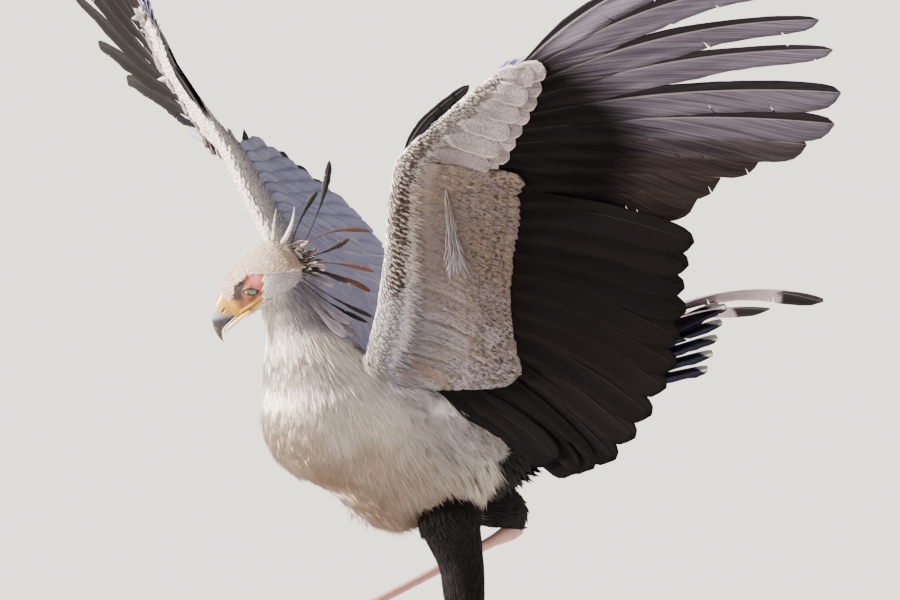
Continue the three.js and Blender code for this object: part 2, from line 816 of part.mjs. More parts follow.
// Torso, neck and head, made whole and parted by planes
const torso = torsoFlesh();
const NECK_CUT = [V(0, -232, 652), V(0, -0.42, 0.9)];
const HEAD_CUT = [onHead(0, -33), HEAD_UP];
const neckWhole = neckFlesh();
const neck = beyond(neckWhole, ...NECK_CUT);
const flip = ([point, normal]) => [point, normal.clone().negate()];
const head = buildHead();
const bodyWithNeck = torso.add(beyond(neckWhole, ...flip(NECK_CUT)));
addNode("torso", beyond(bodyWithNeck, ...flip(NECK_CUT)), COLOUR.breast);
const neckTop = beyond(torso, ...NECK_CUT).add(neck);
addNode("neck", beyond(neckTop, ...flip(HEAD_CUT)), COLOUR.neck);
const headFull = beyond(head.add(neck), ...HEAD_CUT);
const crest = union(CREST.map(crestFeather));
const roomFor = (rows) =>
  headLoft(rows.map(([ft, ut, fb, ub, half]) => [ft - GAP, ut + GAP, fb - GAP, ub - GAP, half + GAP]));
const billRoom = roomFor(BILL_UPPER);
const lowerRoom = roomFor(BILL_LOWER);
const below = beyond(neckFlesh(GAP).add(torsoFlesh(GAP)), ...flip(HEAD_CUT));
const headNode = headFull
  .add(crest.subtract(below))
  .subtract(billRoom)
  .subtract(lowerRoom)
  .subtract(mouthSlit());
addNode("head", headNode, COLOUR.head);
addNode("bill_upper", headLoft(BILL_UPPER).subtract(nostril()), COLOUR.bill);
addNode("bill_lower", headLoft(BILL_LOWER).subtract(billRoom), COLOUR.bill);
for (const [name, side] of [["left", 1], ["right", -1]]) {
  const centre = onHead(EYE.forward, EYE.up, side * EYE.side);
  addNode("eye_" + name, ball(centre, EYE.radius, 12), COLOUR.eye);
}

// Wings
const torsoRoom = torsoFlesh(GAP);
addNode("wing_left", buildWing(LEFT_WING).subtract(torsoRoom), COLOUR.wing);
addNode("wing_right", buildWing(RIGHT_WING).subtract(torsoRoom), COLOUR.wing);

// Tail
addNode("tail", buildTail().subtract(torsoRoom), COLOUR.black);

// Legs
const FOOT_LEFT = V(55, -22, PLATE.thick + GAP);
const FOOT_RIGHT = V(-45, -166, 296);
const spread = (ahead, side, angle) =>
  ahead.clone().multiplyScalar(Math.cos(rad(angle))).addScaledVector(side, Math.sin(rad(angle)));

// Toes of a foot: middle, inner and outer, and the hind one
function toesOf(ahead, side, hind) {
  return [
    [spread(ahead, side, 0), TOES.middle, 6],
    [spread(ahead, side, -36), TOES.inner, 5.6],
    [spread(ahead, side, 36), TOES.outer, 5.6],
    [hind, TOES.hind, 5.2],
  ];
}

const legs = [
  {
    name: "left",
    rows: LEFT_LEG,
    heel: V(55, -24, 312),
    centre: FOOT_LEFT,
    down: V(0, 0, -1),
    toes: toesOf(V(0, -1, 0), V(1, 0, 0), V(0, 1, 0)),
    curl: 0,
  },
  {
    name: "right",
    rows: RIGHT_LEG,
    heel: V(-45, 112, 410),
    centre: FOOT_RIGHT,
    down: V(0, 0.66, -0.75).normalize(),
    toes: toesOf(V(0, -0.75, -0.66).normalize(), V(-1, 0, 0), V(0, 0.9, -0.44).normalize()),
    curl: 0.42,
  },
];
for (const { name, rows, heel, centre, down, toes, curl } of legs) {
  const ankle = centre.clone().addScaledVector(down, -8.4);
  const tarsus = buildTarsus(heel, ankle).subtract(buildThigh(rows, GAP));
  const { foot, claws } = buildFoot(centre, down, toes, curl);
  const way = ankle.clone().sub(heel).normalize();
  const footCut = heel.clone().lerp(ankle, 0.95);
  const level = down.z === -1 ? centre : centre.clone().add(V(0, 0, -400));
  addNode("thigh_" + name, buildThigh(rows).subtract(torsoRoom), COLOUR.black);
  addNode("tarsus_" + name, beyond(tarsus, footCut, way.clone().negate()), COLOUR.skin);
  addNode("foot_" + name, beyond(beyond(foot.add(tarsus), footCut, way), level, V(0, 0, 1)), COLOUR.skin);
  claws.forEach((claw, i) => addNode("claw_" + name + "_" + (i + 1), claw, COLOUR.claw));
}

addNode("stand_base", buildPlate(), COLOUR.wood);

export default group;
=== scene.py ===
# %% [markdown]
# A life-size secretary bird stands on its left leg with both wings thrown up and its right leg
# lifted in a stride. The solids give its forms and sizes; this script dresses them.
# One skin is laid inside the flesh, small feathers are scattered over it by Geometry Nodes, and
# the large feathers, crest, bill, eyes and legs are lofted from the same sizes.

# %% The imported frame
import json
import math

import bpy
import numpy as np
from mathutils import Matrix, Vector
from mathutils.kdtree import KDTree

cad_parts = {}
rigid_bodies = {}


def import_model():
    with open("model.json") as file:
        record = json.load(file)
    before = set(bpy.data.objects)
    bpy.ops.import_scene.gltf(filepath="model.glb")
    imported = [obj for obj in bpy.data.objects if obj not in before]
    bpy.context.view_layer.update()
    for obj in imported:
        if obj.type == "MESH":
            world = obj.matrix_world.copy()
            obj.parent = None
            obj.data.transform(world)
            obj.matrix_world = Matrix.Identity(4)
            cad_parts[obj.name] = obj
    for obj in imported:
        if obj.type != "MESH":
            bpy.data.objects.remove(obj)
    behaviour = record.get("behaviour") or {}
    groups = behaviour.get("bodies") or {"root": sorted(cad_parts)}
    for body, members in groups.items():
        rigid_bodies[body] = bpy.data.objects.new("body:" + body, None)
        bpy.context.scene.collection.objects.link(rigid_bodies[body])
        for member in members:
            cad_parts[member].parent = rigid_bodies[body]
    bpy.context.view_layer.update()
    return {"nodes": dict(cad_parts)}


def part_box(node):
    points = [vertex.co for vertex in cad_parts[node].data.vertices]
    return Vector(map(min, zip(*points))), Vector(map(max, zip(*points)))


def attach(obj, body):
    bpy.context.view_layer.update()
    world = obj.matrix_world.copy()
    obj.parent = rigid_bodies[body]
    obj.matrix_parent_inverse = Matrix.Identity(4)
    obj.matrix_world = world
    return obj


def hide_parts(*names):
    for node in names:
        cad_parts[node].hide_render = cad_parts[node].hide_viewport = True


for leftover in list(bpy.data.objects):
    bpy.data.objects.remove(leftover)
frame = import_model()
draw = np.random.default_rng(11)
print("the frame holds", len(frame["nodes"]), "nodes")

# %% [markdown]
# The camera looks from the front left, a little above level, through a long lens, which flattens
# depth and so stands far away. It is worked out from the picture's width and scale, not placed by
# eye, so that the bird keeps its size. The aim is given across the picture and up it.

# %% Camera
PICTURE_TURN = math.radians(55)
PICTURE_LIFT = math.radians(4)
PICTURE_PIXELS = 900
PIXELS_PER_METRE = 820
FRAME_WIDTH = PICTURE_PIXELS / PIXELS_PER_METRE
AIM_ACROSS = -0.012
AIM_UP = 0.6993
AIM_DEPTH = 0.15
DISTANCE = 24
FARTHEST_SEEN = 200
ACROSS = np.array([math.cos(PICTURE_TURN), math.sin(PICTURE_TURN), 0])
TOWARDS = np.array([
    math.sin(PICTURE_TURN) * math.cos(PICTURE_LIFT),
    -math.cos(PICTURE_TURN) * math.cos(PICTURE_LIFT),
    math.sin(PICTURE_LIFT),
])
UPWARD = np.cross(TOWARDS, ACROSS)


def add_object(name, data):
    made = bpy.data.objects.new(name, data)
    bpy.context.scene.collection.objects.link(made)
    return made


camera_data = bpy.data.cameras.new("camera")
camera = add_object("camera", camera_data)
aim = AIM_ACROSS * ACROSS + AIM_UP * UPWARD
camera.location = Vector(aim + (DISTANCE + AIM_DEPTH) * TOWARDS)
camera.rotation_mode = "QUATERNION"
camera.rotation_quaternion = (-Vector(TOWARDS)).to_track_quat("-Z", "Y")
camera_data.lens = camera_data.sensor_width * DISTANCE / FRAME_WIDTH
camera_data.clip_end = FARTHEST_SEEN
bpy.context.scene.camera = camera
print("the lens is", round(camera_data.lens), "mm long")

# %% [markdown]
# A wide pale floor and soft light: a broad sun from the upper left, as in the photograph, a pale
# sky, and a large panel that lifts the shade on the other side, which one lamp would leave black.

# %% Floor and light
FLOOR_RADIUS = 60
FLOOR_SIDES = 96
LAMPS_AIM = Vector((0, 0, 0.7))
LAMP_DISTANCE = 3.2
SKY_COLOUR = (0.93, 0.94, 1, 1)
SKY_STRENGTH = 0.38
bpy.ops.mesh.primitive_circle_add(vertices=FLOOR_SIDES, radius=FLOOR_RADIUS, fill_type="NGON")
floor = bpy.context.object
floor.name = "floor"


def direction(across, up, towards):
    made = Vector(across * ACROSS + up * UPWARD + towards * TOWARDS)
    return made.normalized()


def add_light(name, kind, way, energy, **settings):
    data = bpy.data.lights.new(name, kind)
    data.energy = energy
    for key, value in settings.items():
        setattr(data, key, value)
    lamp = add_object(name, data)
    lamp.location = LAMPS_AIM + way * LAMP_DISTANCE
    lamp.rotation_mode = "QUATERNION"
    lamp.rotation_quaternion = way.to_track_quat("Z", "Y")


add_light("sun", "SUN", direction(-0.88, 0.42, 0.26), 24, angle=math.radians(22), color=(1, 0.935, 0.84))
add_light("fill", "AREA", direction(0.75, 0.1, 0.8), 8, size=2.6, color=(0.95, 0.95, 1))
world = bpy.data.worlds.new("sky")
bpy.context.scene.world = world
world.use_nodes = True
sky = world.node_tree.nodes["Background"]
sky.inputs["Color"].default_value = SKY_COLOUR
sky.inputs["Strength"].default_value = SKY_STRENGTH
print("lamps:", [lamp.name for lamp in bpy.data.lights])

# %% [markdown]
# Shader maths is written as plain sums: a Wire stands for one output of a node, and adding or
# multiplying wires adds the Math nodes. That is easier to read than nodes wired one by one.

# %% Wires


class Wire:
    """One output socket in a material's node tree."""

    def __init__(self, paint, socket):
        self.paint = paint
        self.socket = socket

    def _math(self, operation, first, second):
        return self.paint.node("ShaderNodeMath", {"operation": operation}, {0: first, 1: second})

    def __add__(self, other):
        return self._math("ADD", self, other)

    def __sub__(self, other):
        return self._math("SUBTRACT", self, other)

    def __rsub__(self, other):
        return self._math("SUBTRACT", other, self)

    def __mul__(self, other):
        return self._math("MULTIPLY", self, other)

    __radd__ = __add__
    __rmul__ = __mul__


# %% [markdown]
# Paint holds one material while it is being made. Its method node adds any node; the others are
# short names for those that feathers, skin and horn use most. The matt floor is its first use.

# %% Paint


class Paint:
    """A material that is being made."""

    def __init__(self, name):
        self.material = bpy.data.materials.new(name)
        self.material.use_nodes = True
        self.tree = self.material.node_tree
        self.tree.nodes.clear()

    def _feed(self, socket, value):
        """Links a wire to an input, or sets a plain value. Three numbers make a full colour."""
        if isinstance(value, Wire):
            self.tree.links.new(value.socket, socket)
        elif isinstance(value, tuple) and len(socket.default_value) == 4:
            socket.default_value = (*value, 1)
        else:
            socket.default_value = value

    def node(self, kind, settings=None, inputs=None, out=0):
        """Adds a node: its settings first, then the values or wires of its inputs."""
        made = self.tree.nodes.new(kind)
        for key, value in (settings or {}).items():
            setattr(made, key, value)
        for key, value in (inputs or {}).items():
            self._feed(made.inputs[key], value)
        return Wire(self, made.outputs[out])

    def read(self, name, out="Fac"):
        return self.node("ShaderNodeAttribute", {"attribute_name": name}, out=out)

    def place(self):
        return self.node("ShaderNodeTexCoord", out="Object")

    def vane(self):
        """Where a point lies on its feather: across it and along it, each from 0 to 1."""
        uv = self.node("ShaderNodeUVMap", {"uv_map": "Vane"})
        split = self.node("ShaderNodeSeparateXYZ", inputs={0: uv})
        return split, Wire(self, split.socket.node.outputs[1])

    def noise(self, scale, detail=3, vector=None):
        inputs = {"Vector": vector or self.place(), "Scale": scale, "Detail": detail}
        return self.node("ShaderNodeTexNoise", inputs=inputs)

    def clamp(self, value, low, high):
        inputs = {0: value, 1: low, 2: high}
        return self.node("ShaderNodeMapRange", {"interpolation_type": "SMOOTHSTEP"}, inputs)

    def sine(self, value):
        return self.node("ShaderNodeMath", {"operation": "SINE"}, {0: value})

    def absolute(self, value):
        return self.node("ShaderNodeMath", {"operation": "ABSOLUTE"}, {0: value})

    def mix(self, factor, first, second, blend="MIX"):
        """A colour between two others, or their product where blend is MULTIPLY."""
        settings = {"data_type": "RGBA", "blend_type": blend}
        return self.node("ShaderNodeMix", settings, {0: factor, 6: first, 7: second}, out=2)

    def finish(self, colour, roughness=0.6, bump=None, strength=0.3, distance=0.001, **fixed):
        """Closes the material. Bump is a height, and fixed are plain numbers on the shader."""
        inputs = {"Base Color": colour, "Roughness": roughness}
        if bump is not None:
            relief = {"Strength": strength, "Distance": distance, "Height": bump}
            inputs["Normal"] = self.node("ShaderNodeBump", inputs=relief)
        for key, value in fixed.items():
            inputs[key.replace("_", " ")] = value
        shader = self.node("ShaderNodeBsdfPrincipled", inputs=inputs)
        end = self.tree.nodes.new("ShaderNodeOutputMaterial")
        self.tree.links.new(shader.socket, end.inputs[0])
        return self.material


floor_paint = Paint("pale_floor")
floor_tone = floor_paint.mix(floor_paint.noise(0.7), (0.66, 0.65, 0.62), (0.7, 0.69, 0.66))
floor.data.materials.append(floor_paint.finish(floor_tone, 0.9))
print("the floor's paint has", len(floor_paint.tree.nodes), "nodes")

# %% [markdown]
# Soft parts start as lofts: rings of points through a top and a bottom. The same rows as in the
# solids are refined with a smooth curve, so a few sizes set the form, which sculpting would not.

# %% Rows and rings


def refine(rows, steps):
    """More rows, on a smooth curve through the ones given."""
    table = np.array(rows, float)
    padded = np.vstack([2 * table[0] - table[1], table, 2 * table[-1] - table[-2]])
    made = []
    for i in range(1, len(padded) - 2):
        a, b, c, d = padded[i - 1 : i + 3]
        for t in np.arange(steps) / steps:
            straight, bent, curled = c - a, 2 * a - 5 * b + 4 * c - d, 3 * b - a - 3 * c + d
            made.append(0.5 * (2 * b + straight * t + bent * t**2 + curled * t**3))
    made.append(table[-1])
    return np.array(made)


def unit(vectors):
    vectors = np.asarray(vectors, float)
    return vectors / np.maximum(np.linalg.norm(vectors, axis=-1, keepdims=True), 1e-12)


def rise(value, low, high):
    """A smooth step from 0 at low to 1 at high."""
    t = np.clip((np.asarray(value, float) - low) / (high - low), 0, 1)
    return t * t * (3 - 2 * t)


def ring_angles(n):
    return np.arange(n) / n * 2 * math.pi


def ring(top, bottom, side, n, square=1.0):
    """A ring of n points. Below 1, square makes it fuller in its corners."""
    angle = ring_angles(n)
    up, out = (np.sign(v) * np.abs(v) ** square for v in (np.cos(angle), np.sin(angle)))
    return (top + bottom) / 2 + np.outer(up, (top - bottom) / 2) + np.outer(out, side)


def limb_rings(rows, n, hint=(1, 0, 0)):
    """Round rings through [x, y, z, radius] rows."""
    table = np.array(rows, float)
    way = unit(np.gradient(table[:, :3], axis=0))
    side = unit(np.array(hint) - way * (way @ np.array(hint))[:, None])
    up = np.cross(way, side)
    return np.array([
        ring(p[:3] + u * p[3], p[:3] - u * p[3], s * p[3], n) for p, u, s in zip(table, up, side)
    ])


print("half way up, a smooth step stands at", float(rise(0.5, 0, 1)))

# %% [markdown]
# A loft joins its rings with quads and closes both ends. Blender's edit step turns the faces
# outward, which is surer than keeping track of each ring's sense.

# %% Lofts


def loft_faces(count, n):
    """Quads between count rings of n points, with a cap at either end."""
    faces = []
    for i in range(count - 1):
        for j in range(n):
            a, b = i * n + j, i * n + (j + 1) % n
            faces.append((a, b, b + n, a + n))
    faces.append(tuple(range(n))[::-1])
    faces.append(tuple(range((count - 1) * n, count * n)))
    return faces


def make_object(name, points, faces):
    mesh = bpy.data.meshes.new(name)
    mesh.from_pydata(np.asarray(points).reshape(-1, 3).tolist(), [], faces)
    return add_object(name, mesh)


def edit_whole(made, step):
    """Runs one edit step on all of a mesh."""
    select_only(made)
    bpy.ops.object.mode_set(mode="EDIT")
    bpy.ops.mesh.select_all(action="SELECT")
    step()
    bpy.ops.object.mode_set(mode="OBJECT")


def face_outward(made):
    edit_whole(made, lambda: bpy.ops.mesh.normals_make_consistent(inside=False))


def loft(name, rings):
    rings = np.asarray(rings)
    made = make_object(name, rings, loft_faces(*rings.shape[:2]))
    face_outward(made)
    return made


# %% [markdown]
# Pieces are joined, melted or cut by modifiers, and the result is kept as a plain mesh, so that
# nothing is left live on the finished object.

# %% Joining, melting and cutting


def select_only(*chosen):
    bpy.ops.object.select_all(action="DESELECT")
    for o in chosen:
        o.select_set(True)
    bpy.context.view_layer.objects.active = chosen[0]


def join(name, *pieces):
    select_only(*pieces)
    if len(pieces) > 1:
        bpy.ops.object.join()
    pieces[0].name = name
    pieces[0].data.name = name
    return pieces[0]


def bake_modifiers(made):
    graph = bpy.context.evaluated_depsgraph_get()
    mesh = bpy.data.meshes.new_from_object(made.evaluated_get(graph))
    made.modifiers.clear()
    made.data = mesh
    return made


def melt(made, voxel, smoothing):
    grid = made.modifiers.new("melt", "REMESH")
    grid.mode = "VOXEL"
    grid.voxel_size = voxel
    soften = made.modifiers.new("soften", "SMOOTH")
    soften.factor = 0.5
    soften.iterations = smoothing
    bake_modifiers(made)
    made.data.shade_smooth()
    return made


def cut_away(made, tool):
    cut = made.modifiers.new("cut", "BOOLEAN")
    cut.operation = "DIFFERENCE"
    cut.solver = "EXACT"
    cut.object = tool
    bake_modifiers(made)
    bpy.data.objects.remove(tool)


def ball(radius, centre, segments, rings):
    bpy.ops.mesh.primitive_uv_sphere_add(segments=segments, ring_count=rings, radius=radius, location=centre)
    bpy.ops.object.transform_apply(location=True, rotation=True, scale=True)
    return bpy.context.object


# %% [markdown]
# Each part of the flesh keeps, beside its points, the way its feathers lie and how they are
# marked: how long, grey, tan, black and speckled they are. The skin later reads these.

# %% Marks carried by the flesh
MARKS = ["tract", "long", "wide", "lift", "grey", "tan", "speck", "dark", "bar", "run", "bald"]
lie_points, lie_flow, lie_marks = [], [], []


def note(rings, flow, **marks):
    points = np.asarray(rings).reshape(-1, 3)
    lie_points.append(points)
    lie_flow.append(np.broadcast_to(flow, (len(points), 3)) if np.ndim(flow) == 1 else flow.reshape(-1, 3))
    table = np.zeros((len(points), len(MARKS)))
    for i, key in enumerate(MARKS):
        value = np.asarray(marks.get(key, 0), float)
        table[:, i] = value.reshape(-1) if value.ndim else value
    lie_marks.append(table)


# %% [markdown]
# The torso is egg-shaped and carried level. Its coat is deep and loose, so the skin lies inside
# the solid by the coat's depth, and the feathers' tips reach the solid's outline.

# %% Torso
TRACT = {"breast": 1, "belly": 2, "flank": 3, "back": 4, "vent": 5, "neck": 6}
TORSO_DEPTH = 0.008
# The breast's underside is drawn up by these heights: y, rise
TUCK = np.array([[-0.279, 0], [-0.255, 0.012], [-0.228, 0.027], [-0.19, 0.029], [-0.16, 0.015], [-0.125, 0]])
# y, top, bottom, half width
TORSO = refine([
    [-0.279, 0.596, 0.572, 0.014],
    [-0.272, 0.622, 0.534, 0.042],
    [-0.255, 0.64, 0.496, 0.064],
    [-0.228, 0.65, 0.466, 0.078],
    [-0.19, 0.653, 0.446, 0.086],
    [-0.14, 0.65, 0.436, 0.088],
    [-0.08, 0.642, 0.434, 0.084],
    [-0.02, 0.63, 0.446, 0.074],
    [0.035, 0.616, 0.47, 0.06],
    [0.08, 0.602, 0.5, 0.046],
    [0.116, 0.59, 0.528, 0.032],
], 4)
TORSO_SIDES = 48
skin_parts = []


def body_ring(y, top, bottom, half, sides, square=1.0):
    return ring(np.array([0, y, top]), np.array([0, y, bottom]), np.array([half, 0, 0]), sides, square)


def torso_rings(depth):
    made = []
    for y, top, bottom, half in TORSO:
        room = min(depth, 0.42 * (top - bottom), 0.7 * half)
        bottom = bottom + np.interp(y, TUCK[:, 0], TUCK[:, 1])
        y_in = y + depth * rise(y, -0.2, -0.279)
        made.append(body_ring(y_in, top - room, bottom + room, half - room, TORSO_SIDES, 0.88))
    return np.array(made)


rings = torso_rings(TORSO_DEPTH)
skin_parts.append(loft("torso_flesh", rings))
print("the torso has", len(TORSO), "rings")

# %% [markdown]
# Feathers grow in tracts, each with its own length and looseness: white breast, belly warming to
# tan, partly its own colour and partly painted shade with warm light thrown up from below, lilac
# grey back, black rump. y runs from breast to tail, high from the belly, 0, to the back.

# %% Marks on the torso
y = rings[..., 1]
angle = np.broadcast_to(ring_angles(TORSO_SIDES), y.shape)
high = (np.cos(angle) + 1) / 2
slope = np.radians(80 - (34 + 32 * rise(high, 0.6, 0.86)) * rise(y, -0.28, -0.05))
flow = np.stack([0 * y, np.cos(slope), -np.sin(slope)], axis=-1)
tract = np.where(high > 0.8, TRACT["back"], np.where(y < -0.15, TRACT["breast"], TRACT["flank"]))
tract = np.where((high < 0.3) & (y >= -0.15), TRACT["belly"], tract)
tract = np.where(y > -0.028, TRACT["vent"], tract)
tract = np.where((high > 0.8) & (y > -0.2), TRACT["back"], tract)
tract = np.where((high > 0.6) & (y < -0.17), TRACT["neck"], tract)
loose = rise(y, -0.19, -0.03) * rise(high, 0.62, 0.2)
shelf = rise(high, 0.55, 0.8) * rise(y, -0.2, -0.24)
vent = rise(y, -0.032, -0.012)
grey_back = rise(high, 0.7, 0.88) * rise(y, -0.23, -0.18)
grey_side = rise(high, 0.35, 0.55) * rise(y, -0.19, -0.12)
# The tan low on the belly is partly the feathers' own colour and partly painted shade and warm bounce light.
tan_and_shade_belly = rise(high, 0.8, 0.15) * rise(y, -0.31, -0.26) * rise(y, 0.02, -0.08)
note(rings, flow, tract=tract,
     long=(0.034 + 0.03 * loose) * (1 - 0.42 * vent) + 0.022 * vent * rise(high, 0.7, 0.4),
     wide=0.011 + 0.004 * rise(high, 0.6, 0.9) * rise(y, -0.2, -0.15) - 0.003 * shelf,
     lift=(0.08 + 0.24 * loose) * (1 - 0.6 * vent),
     grey=grey_back + 0.45 * grey_side,
     tan=0.15 + 0.6 * tan_and_shade_belly,
     speck=0.52 * rise(high, 0.3, 0.45) * rise(high, 0.86, 0.7) * rise(y, -0.14, -0.06),
     dark=rise(y, -0.032, -0.022) * rise(high, 0.9, 0.7) + rise(y, 0.07, 0.09))
print("feathers are noted at", len(lie_points[0]), "points of the torso")

# %% [markdown]
# The neck rises from the breast in one wide curve and narrows fast below the head. Its feathers
# hang like a mane, white in front and grey behind, the grey partly their own and partly painted
# shade on the side turned from the sun, and hide where it meets the torso.

# %% Neck
NECK_DEPTH = 0.003
# y, z, radius fore and aft, radius across
NECK = refine([
    [-0.194, 0.572, 0.07, 0.076],
    [-0.206, 0.605, 0.064, 0.067],
    [-0.221, 0.634, 0.057, 0.058],
    [-0.237, 0.66, 0.047, 0.046],
    [-0.249, 0.684, 0.035, 0.034],
    [-0.26, 0.706, 0.028, 0.027],
    [-0.268, 0.722, 0.024, 0.022],
    [-0.274, 0.738, 0.02, 0.019],
], 4)
NECK_SIDES = 32
NECK_TILT = unit([0, 0.9, 0.42])


def neck_ring(y, z, fore, wide):
    centre, reach = np.array([0, y, z]), NECK_TILT * (fore - NECK_DEPTH)
    return ring(centre + reach, centre - reach, np.array([wide - NECK_DEPTH, 0, 0]), NECK_SIDES)


rings = np.array([neck_ring(*row) for row in NECK])
z = rings[..., 2]
angle = np.broadcast_to(ring_angles(NECK_SIDES), z.shape)
behind = (np.cos(angle) + 1) / 2
# grey: the neck's own grey behind, and partly painted shade on the side turned from the sun.
note(rings, unit([0, 0.42, -0.9]), tract=TRACT["neck"],
     long=0.026 + 0.014 * rise(z, 0.71, 0.65), wide=0.0075, lift=0.11, tan=0.12,
     grey=np.clip(0.6 * rise(behind, 0.5, 0.9) * rise(z, 0.62, 0.68)
                  + 0.75 * rise(z, 0.678, 0.7) * rise(behind, 0.05, 0.4), 0, 1))
skin_parts.append(loft("neck_flesh", rings))
print("the neck has", len(NECK), "rings")

# %% [markdown]
# Loose feathers of the flank fall over the thigh, and under each wing it swells into a soft lobe.
# Both are limbs of round rings, which the remesh runs into the body without an edge.

# %% Flank and lobes
# x, y, z, radius
FLANK = refine([
    [0.02, -0.18, 0.525, 0.044],
    [0.03, -0.13, 0.514, 0.05],
    [0.036, -0.08, 0.509, 0.052],
    [0.034, -0.042, 0.512, 0.045],
    [0.026, -0.016, 0.522, 0.034],
], 4)
rings = limb_rings(FLANK, 28)
y, z = rings[..., 1], rings[..., 2]
# Tan low on the flank is partly its own colour and partly painted shade and warm bounce light.
note(rings, unit([0.05, 0.6, -0.8]), tract=TRACT["flank"], long=0.046, wide=0.012, lift=0.2,
     grey=0.45 * rise(z, 0.48, 0.52),
     tan=0.15 + 0.55 * rise(z, 0.56, 0.47) * rise(y, 0.02, -0.08),
     speck=0.5 * rise(z, 0.49, 0.51) * rise(y, -0.14, -0.08))
skin_parts.append(loft("flank_flesh", rings))
# The lobe under each wing: x, y, z, radius
LOBE = refine([
    [0.046, -0.118, 0.604, 0.026],
    [0.06, -0.09, 0.592, 0.033],
    [0.084, -0.064, 0.57, 0.034],
    [0.1, -0.038, 0.545, 0.027],
    [0.106, -0.022, 0.526, 0.013],
], 4)
for side in (1, -1):
    rings = limb_rings(LOBE * (side, 1, 1, 1), 24)
    rear = rise(rings[..., 1], -0.1, -0.06)
    note(rings, unit([side * 0.25, 0.62, -0.72]), tract=TRACT["flank"], long=0.03, wide=0.01,
         lift=0.14, grey=0.55, tan=0.08, speck=0.56 * rear)
    skin_parts.append(loft("lobe_flesh", rings))
print("flank and lobes:", len(FLANK), "and", len(LOBE), "rings")

# %% [markdown]
# The wings are measured in the plane of each: outward along the chord and up from the shoulder.
# Flesh and feathers share these measures, which can be compared with any spread wing. Stations
# run from the shoulder, 0, past the wrist to the tip of the hand, 1.

# %% Wings' measures
SHOULDER = np.array([0.07, -0.163, 0.638])
WRIST = 4 / 9
LAST_PRIMARY = 0.95
STATIONS = np.linspace(0, 1, 10)
FLESH_HALF = np.array([22, 21, 19, 17, 15, 13, 11.5, 10, 7.5, 3.5]) / 1000
FLESH_REAR = np.array([6, 6.5, 6.5, 6.5, 6, 5.6, 5.2, 4.6, 3.6, 2]) / 1000


def pairs(*values):
    return np.array(values, float).reshape(-1, 2) / 1000


class Wing:
    def __init__(self, name, side, out, rise_way, lean, turns, lead, rear, primary_tips, trailing):
        self.name, self.side = name, side
        self.out, self.up = np.array(out), np.array(rise_way)
        self.lean, self.turns = np.array(lean, float), np.array(turns, float)
        self.lead, self.rear = lead, rear
        self.primary_tips, self.trailing = primary_tips, trailing

    def chord(self, station):
        turn = np.radians(np.interp(station, self.turns[:, 0], self.turns[:, 1]))
        return np.stack([self.side * np.cos(turn), np.sin(turn), 0 * turn], axis=-1)

    def back(self, station):
        """The way the back of the wing looks."""
        return unit(np.cross(self.up + 0.5 * self.out, self.chord(station))) * self.side

    def place(self, station, a, b, high=0.0):
        """A point of the wing in space. Station, a, b and high may be arrays of one size."""
        a, b = np.asarray(a, float)[..., None], np.asarray(b, float)
        lean = np.interp(b, self.lean[:, 0], self.lean[:, 1])[..., None]
        base = SHOULDER * (self.side, 1, 1)
        high = np.asarray(high, float)[..., None]
        return (base + self.chord(station) * a + self.up * b[..., None] + self.out * lean
                + self.back(station) * high)

    def edge(self, table, share):
        stops = np.linspace(0, 1, len(table))
        return np.stack([np.interp(share, stops, table[:, k]) for k in (0, 1)], axis=-1)

    def flight(self, station):
        root = self.edge(self.rear, station)
        if station >= WRIST:
            share = min(1, (station - WRIST) / (LAST_PRIMARY - WRIST))
            return root, self.edge(self.primary_tips, share)
        return root, self.edge(self.trailing, 1 - station / WRIST)

    def evenly(self, start, end, share):
        fine = np.linspace(start, end, 60)
        points = self.edge(self.rear, fine)
        run = np.concatenate([[0], np.cumsum(np.linalg.norm(np.diff(points, axis=0), axis=1))])
        return np.interp(np.asarray(share) * run[-1], run, fine)


print("the wrist lies at station", round(WRIST, 2))

# %% [markdown]
# The near wing stands square to the camera, so its plane is the picture's. The far wing is seen
# nearly edge on, and its hand bends back at the wrist. Edges are in millimetres, two by two.

# %% Left and right wing
LEFT = Wing(
    "left", 1, TOWARDS, UPWARD,
    [[-0.2, -0.058], [0, 0], [0.7, 0.336]],
    [[0, 55], [1, 55]],
    lead=pairs(-22, 6, -8, 62, 1, 125, 5, 190, 14, 243, 40, 273, 72, 299, 104, 326, 137, 350, 152, 361),
    rear=pairs(62, -32, 100, 20, 98, 85, 86, 165, 80, 214, 92, 240, 110, 268, 130, 297, 148, 327, 158, 350),
    primary_tips=pairs(378, 187, 402, 211, 448, 234, 509, 252, 546, 276,
                       555, 313, 545, 367, 528, 403, 500, 450, 462, 486),
    trailing=pairs(377, 160, 373, 115, 367, 72, 356, 16, 343, -29, 311, -78, 274, -117, 240, -126, 203, -104),
)
RIGHT_LOOKS = math.radians(52)
RIGHT = Wing(
    "right", -1, (-math.sin(RIGHT_LOOKS), -math.cos(RIGHT_LOOKS), 0), (0, 0, 1),
    [[-0.2, -0.062], [0, 0], [0.141, 0.058], [0.246, 0.113],
     [0.285, 0.144], [0.349, 0.191], [0.424, 0.228], [0.7, 0.35]],
    [[0, 62], [0.25, 59], [0.333, 54], [0.39, 48.5], [0.44, 42.5], [0.454, 23], [0.5, 19.5], [1, 21]],
    lead=pairs(-22, 6, -14, 62, -14, 130, -15, 200, -15, 268,
               -20, 304, -20, 340, -18, 376, -14, 408, -10, 424),
    rear=pairs(62, -24, 94, 30, 88, 92, 76, 170, 64, 236, 54, 276, 42, 314, 28, 354, 12, 390, 0, 418),
    primary_tips=pairs(362, 275, 382, 298, 408, 340, 424, 402, 420, 462,
                       388, 521, 338, 582, 284, 630, 222, 662, 160, 670),
    trailing=pairs(286, 250, 340, 214, 350, 168, 342, 118, 326, 66, 292, 12, 252, -36, 220, -58, 190, -50),
)
for wing in (LEFT, RIGHT):
    print(wing.name, "wing: its front edge ends at", wing.lead[-1], "m")


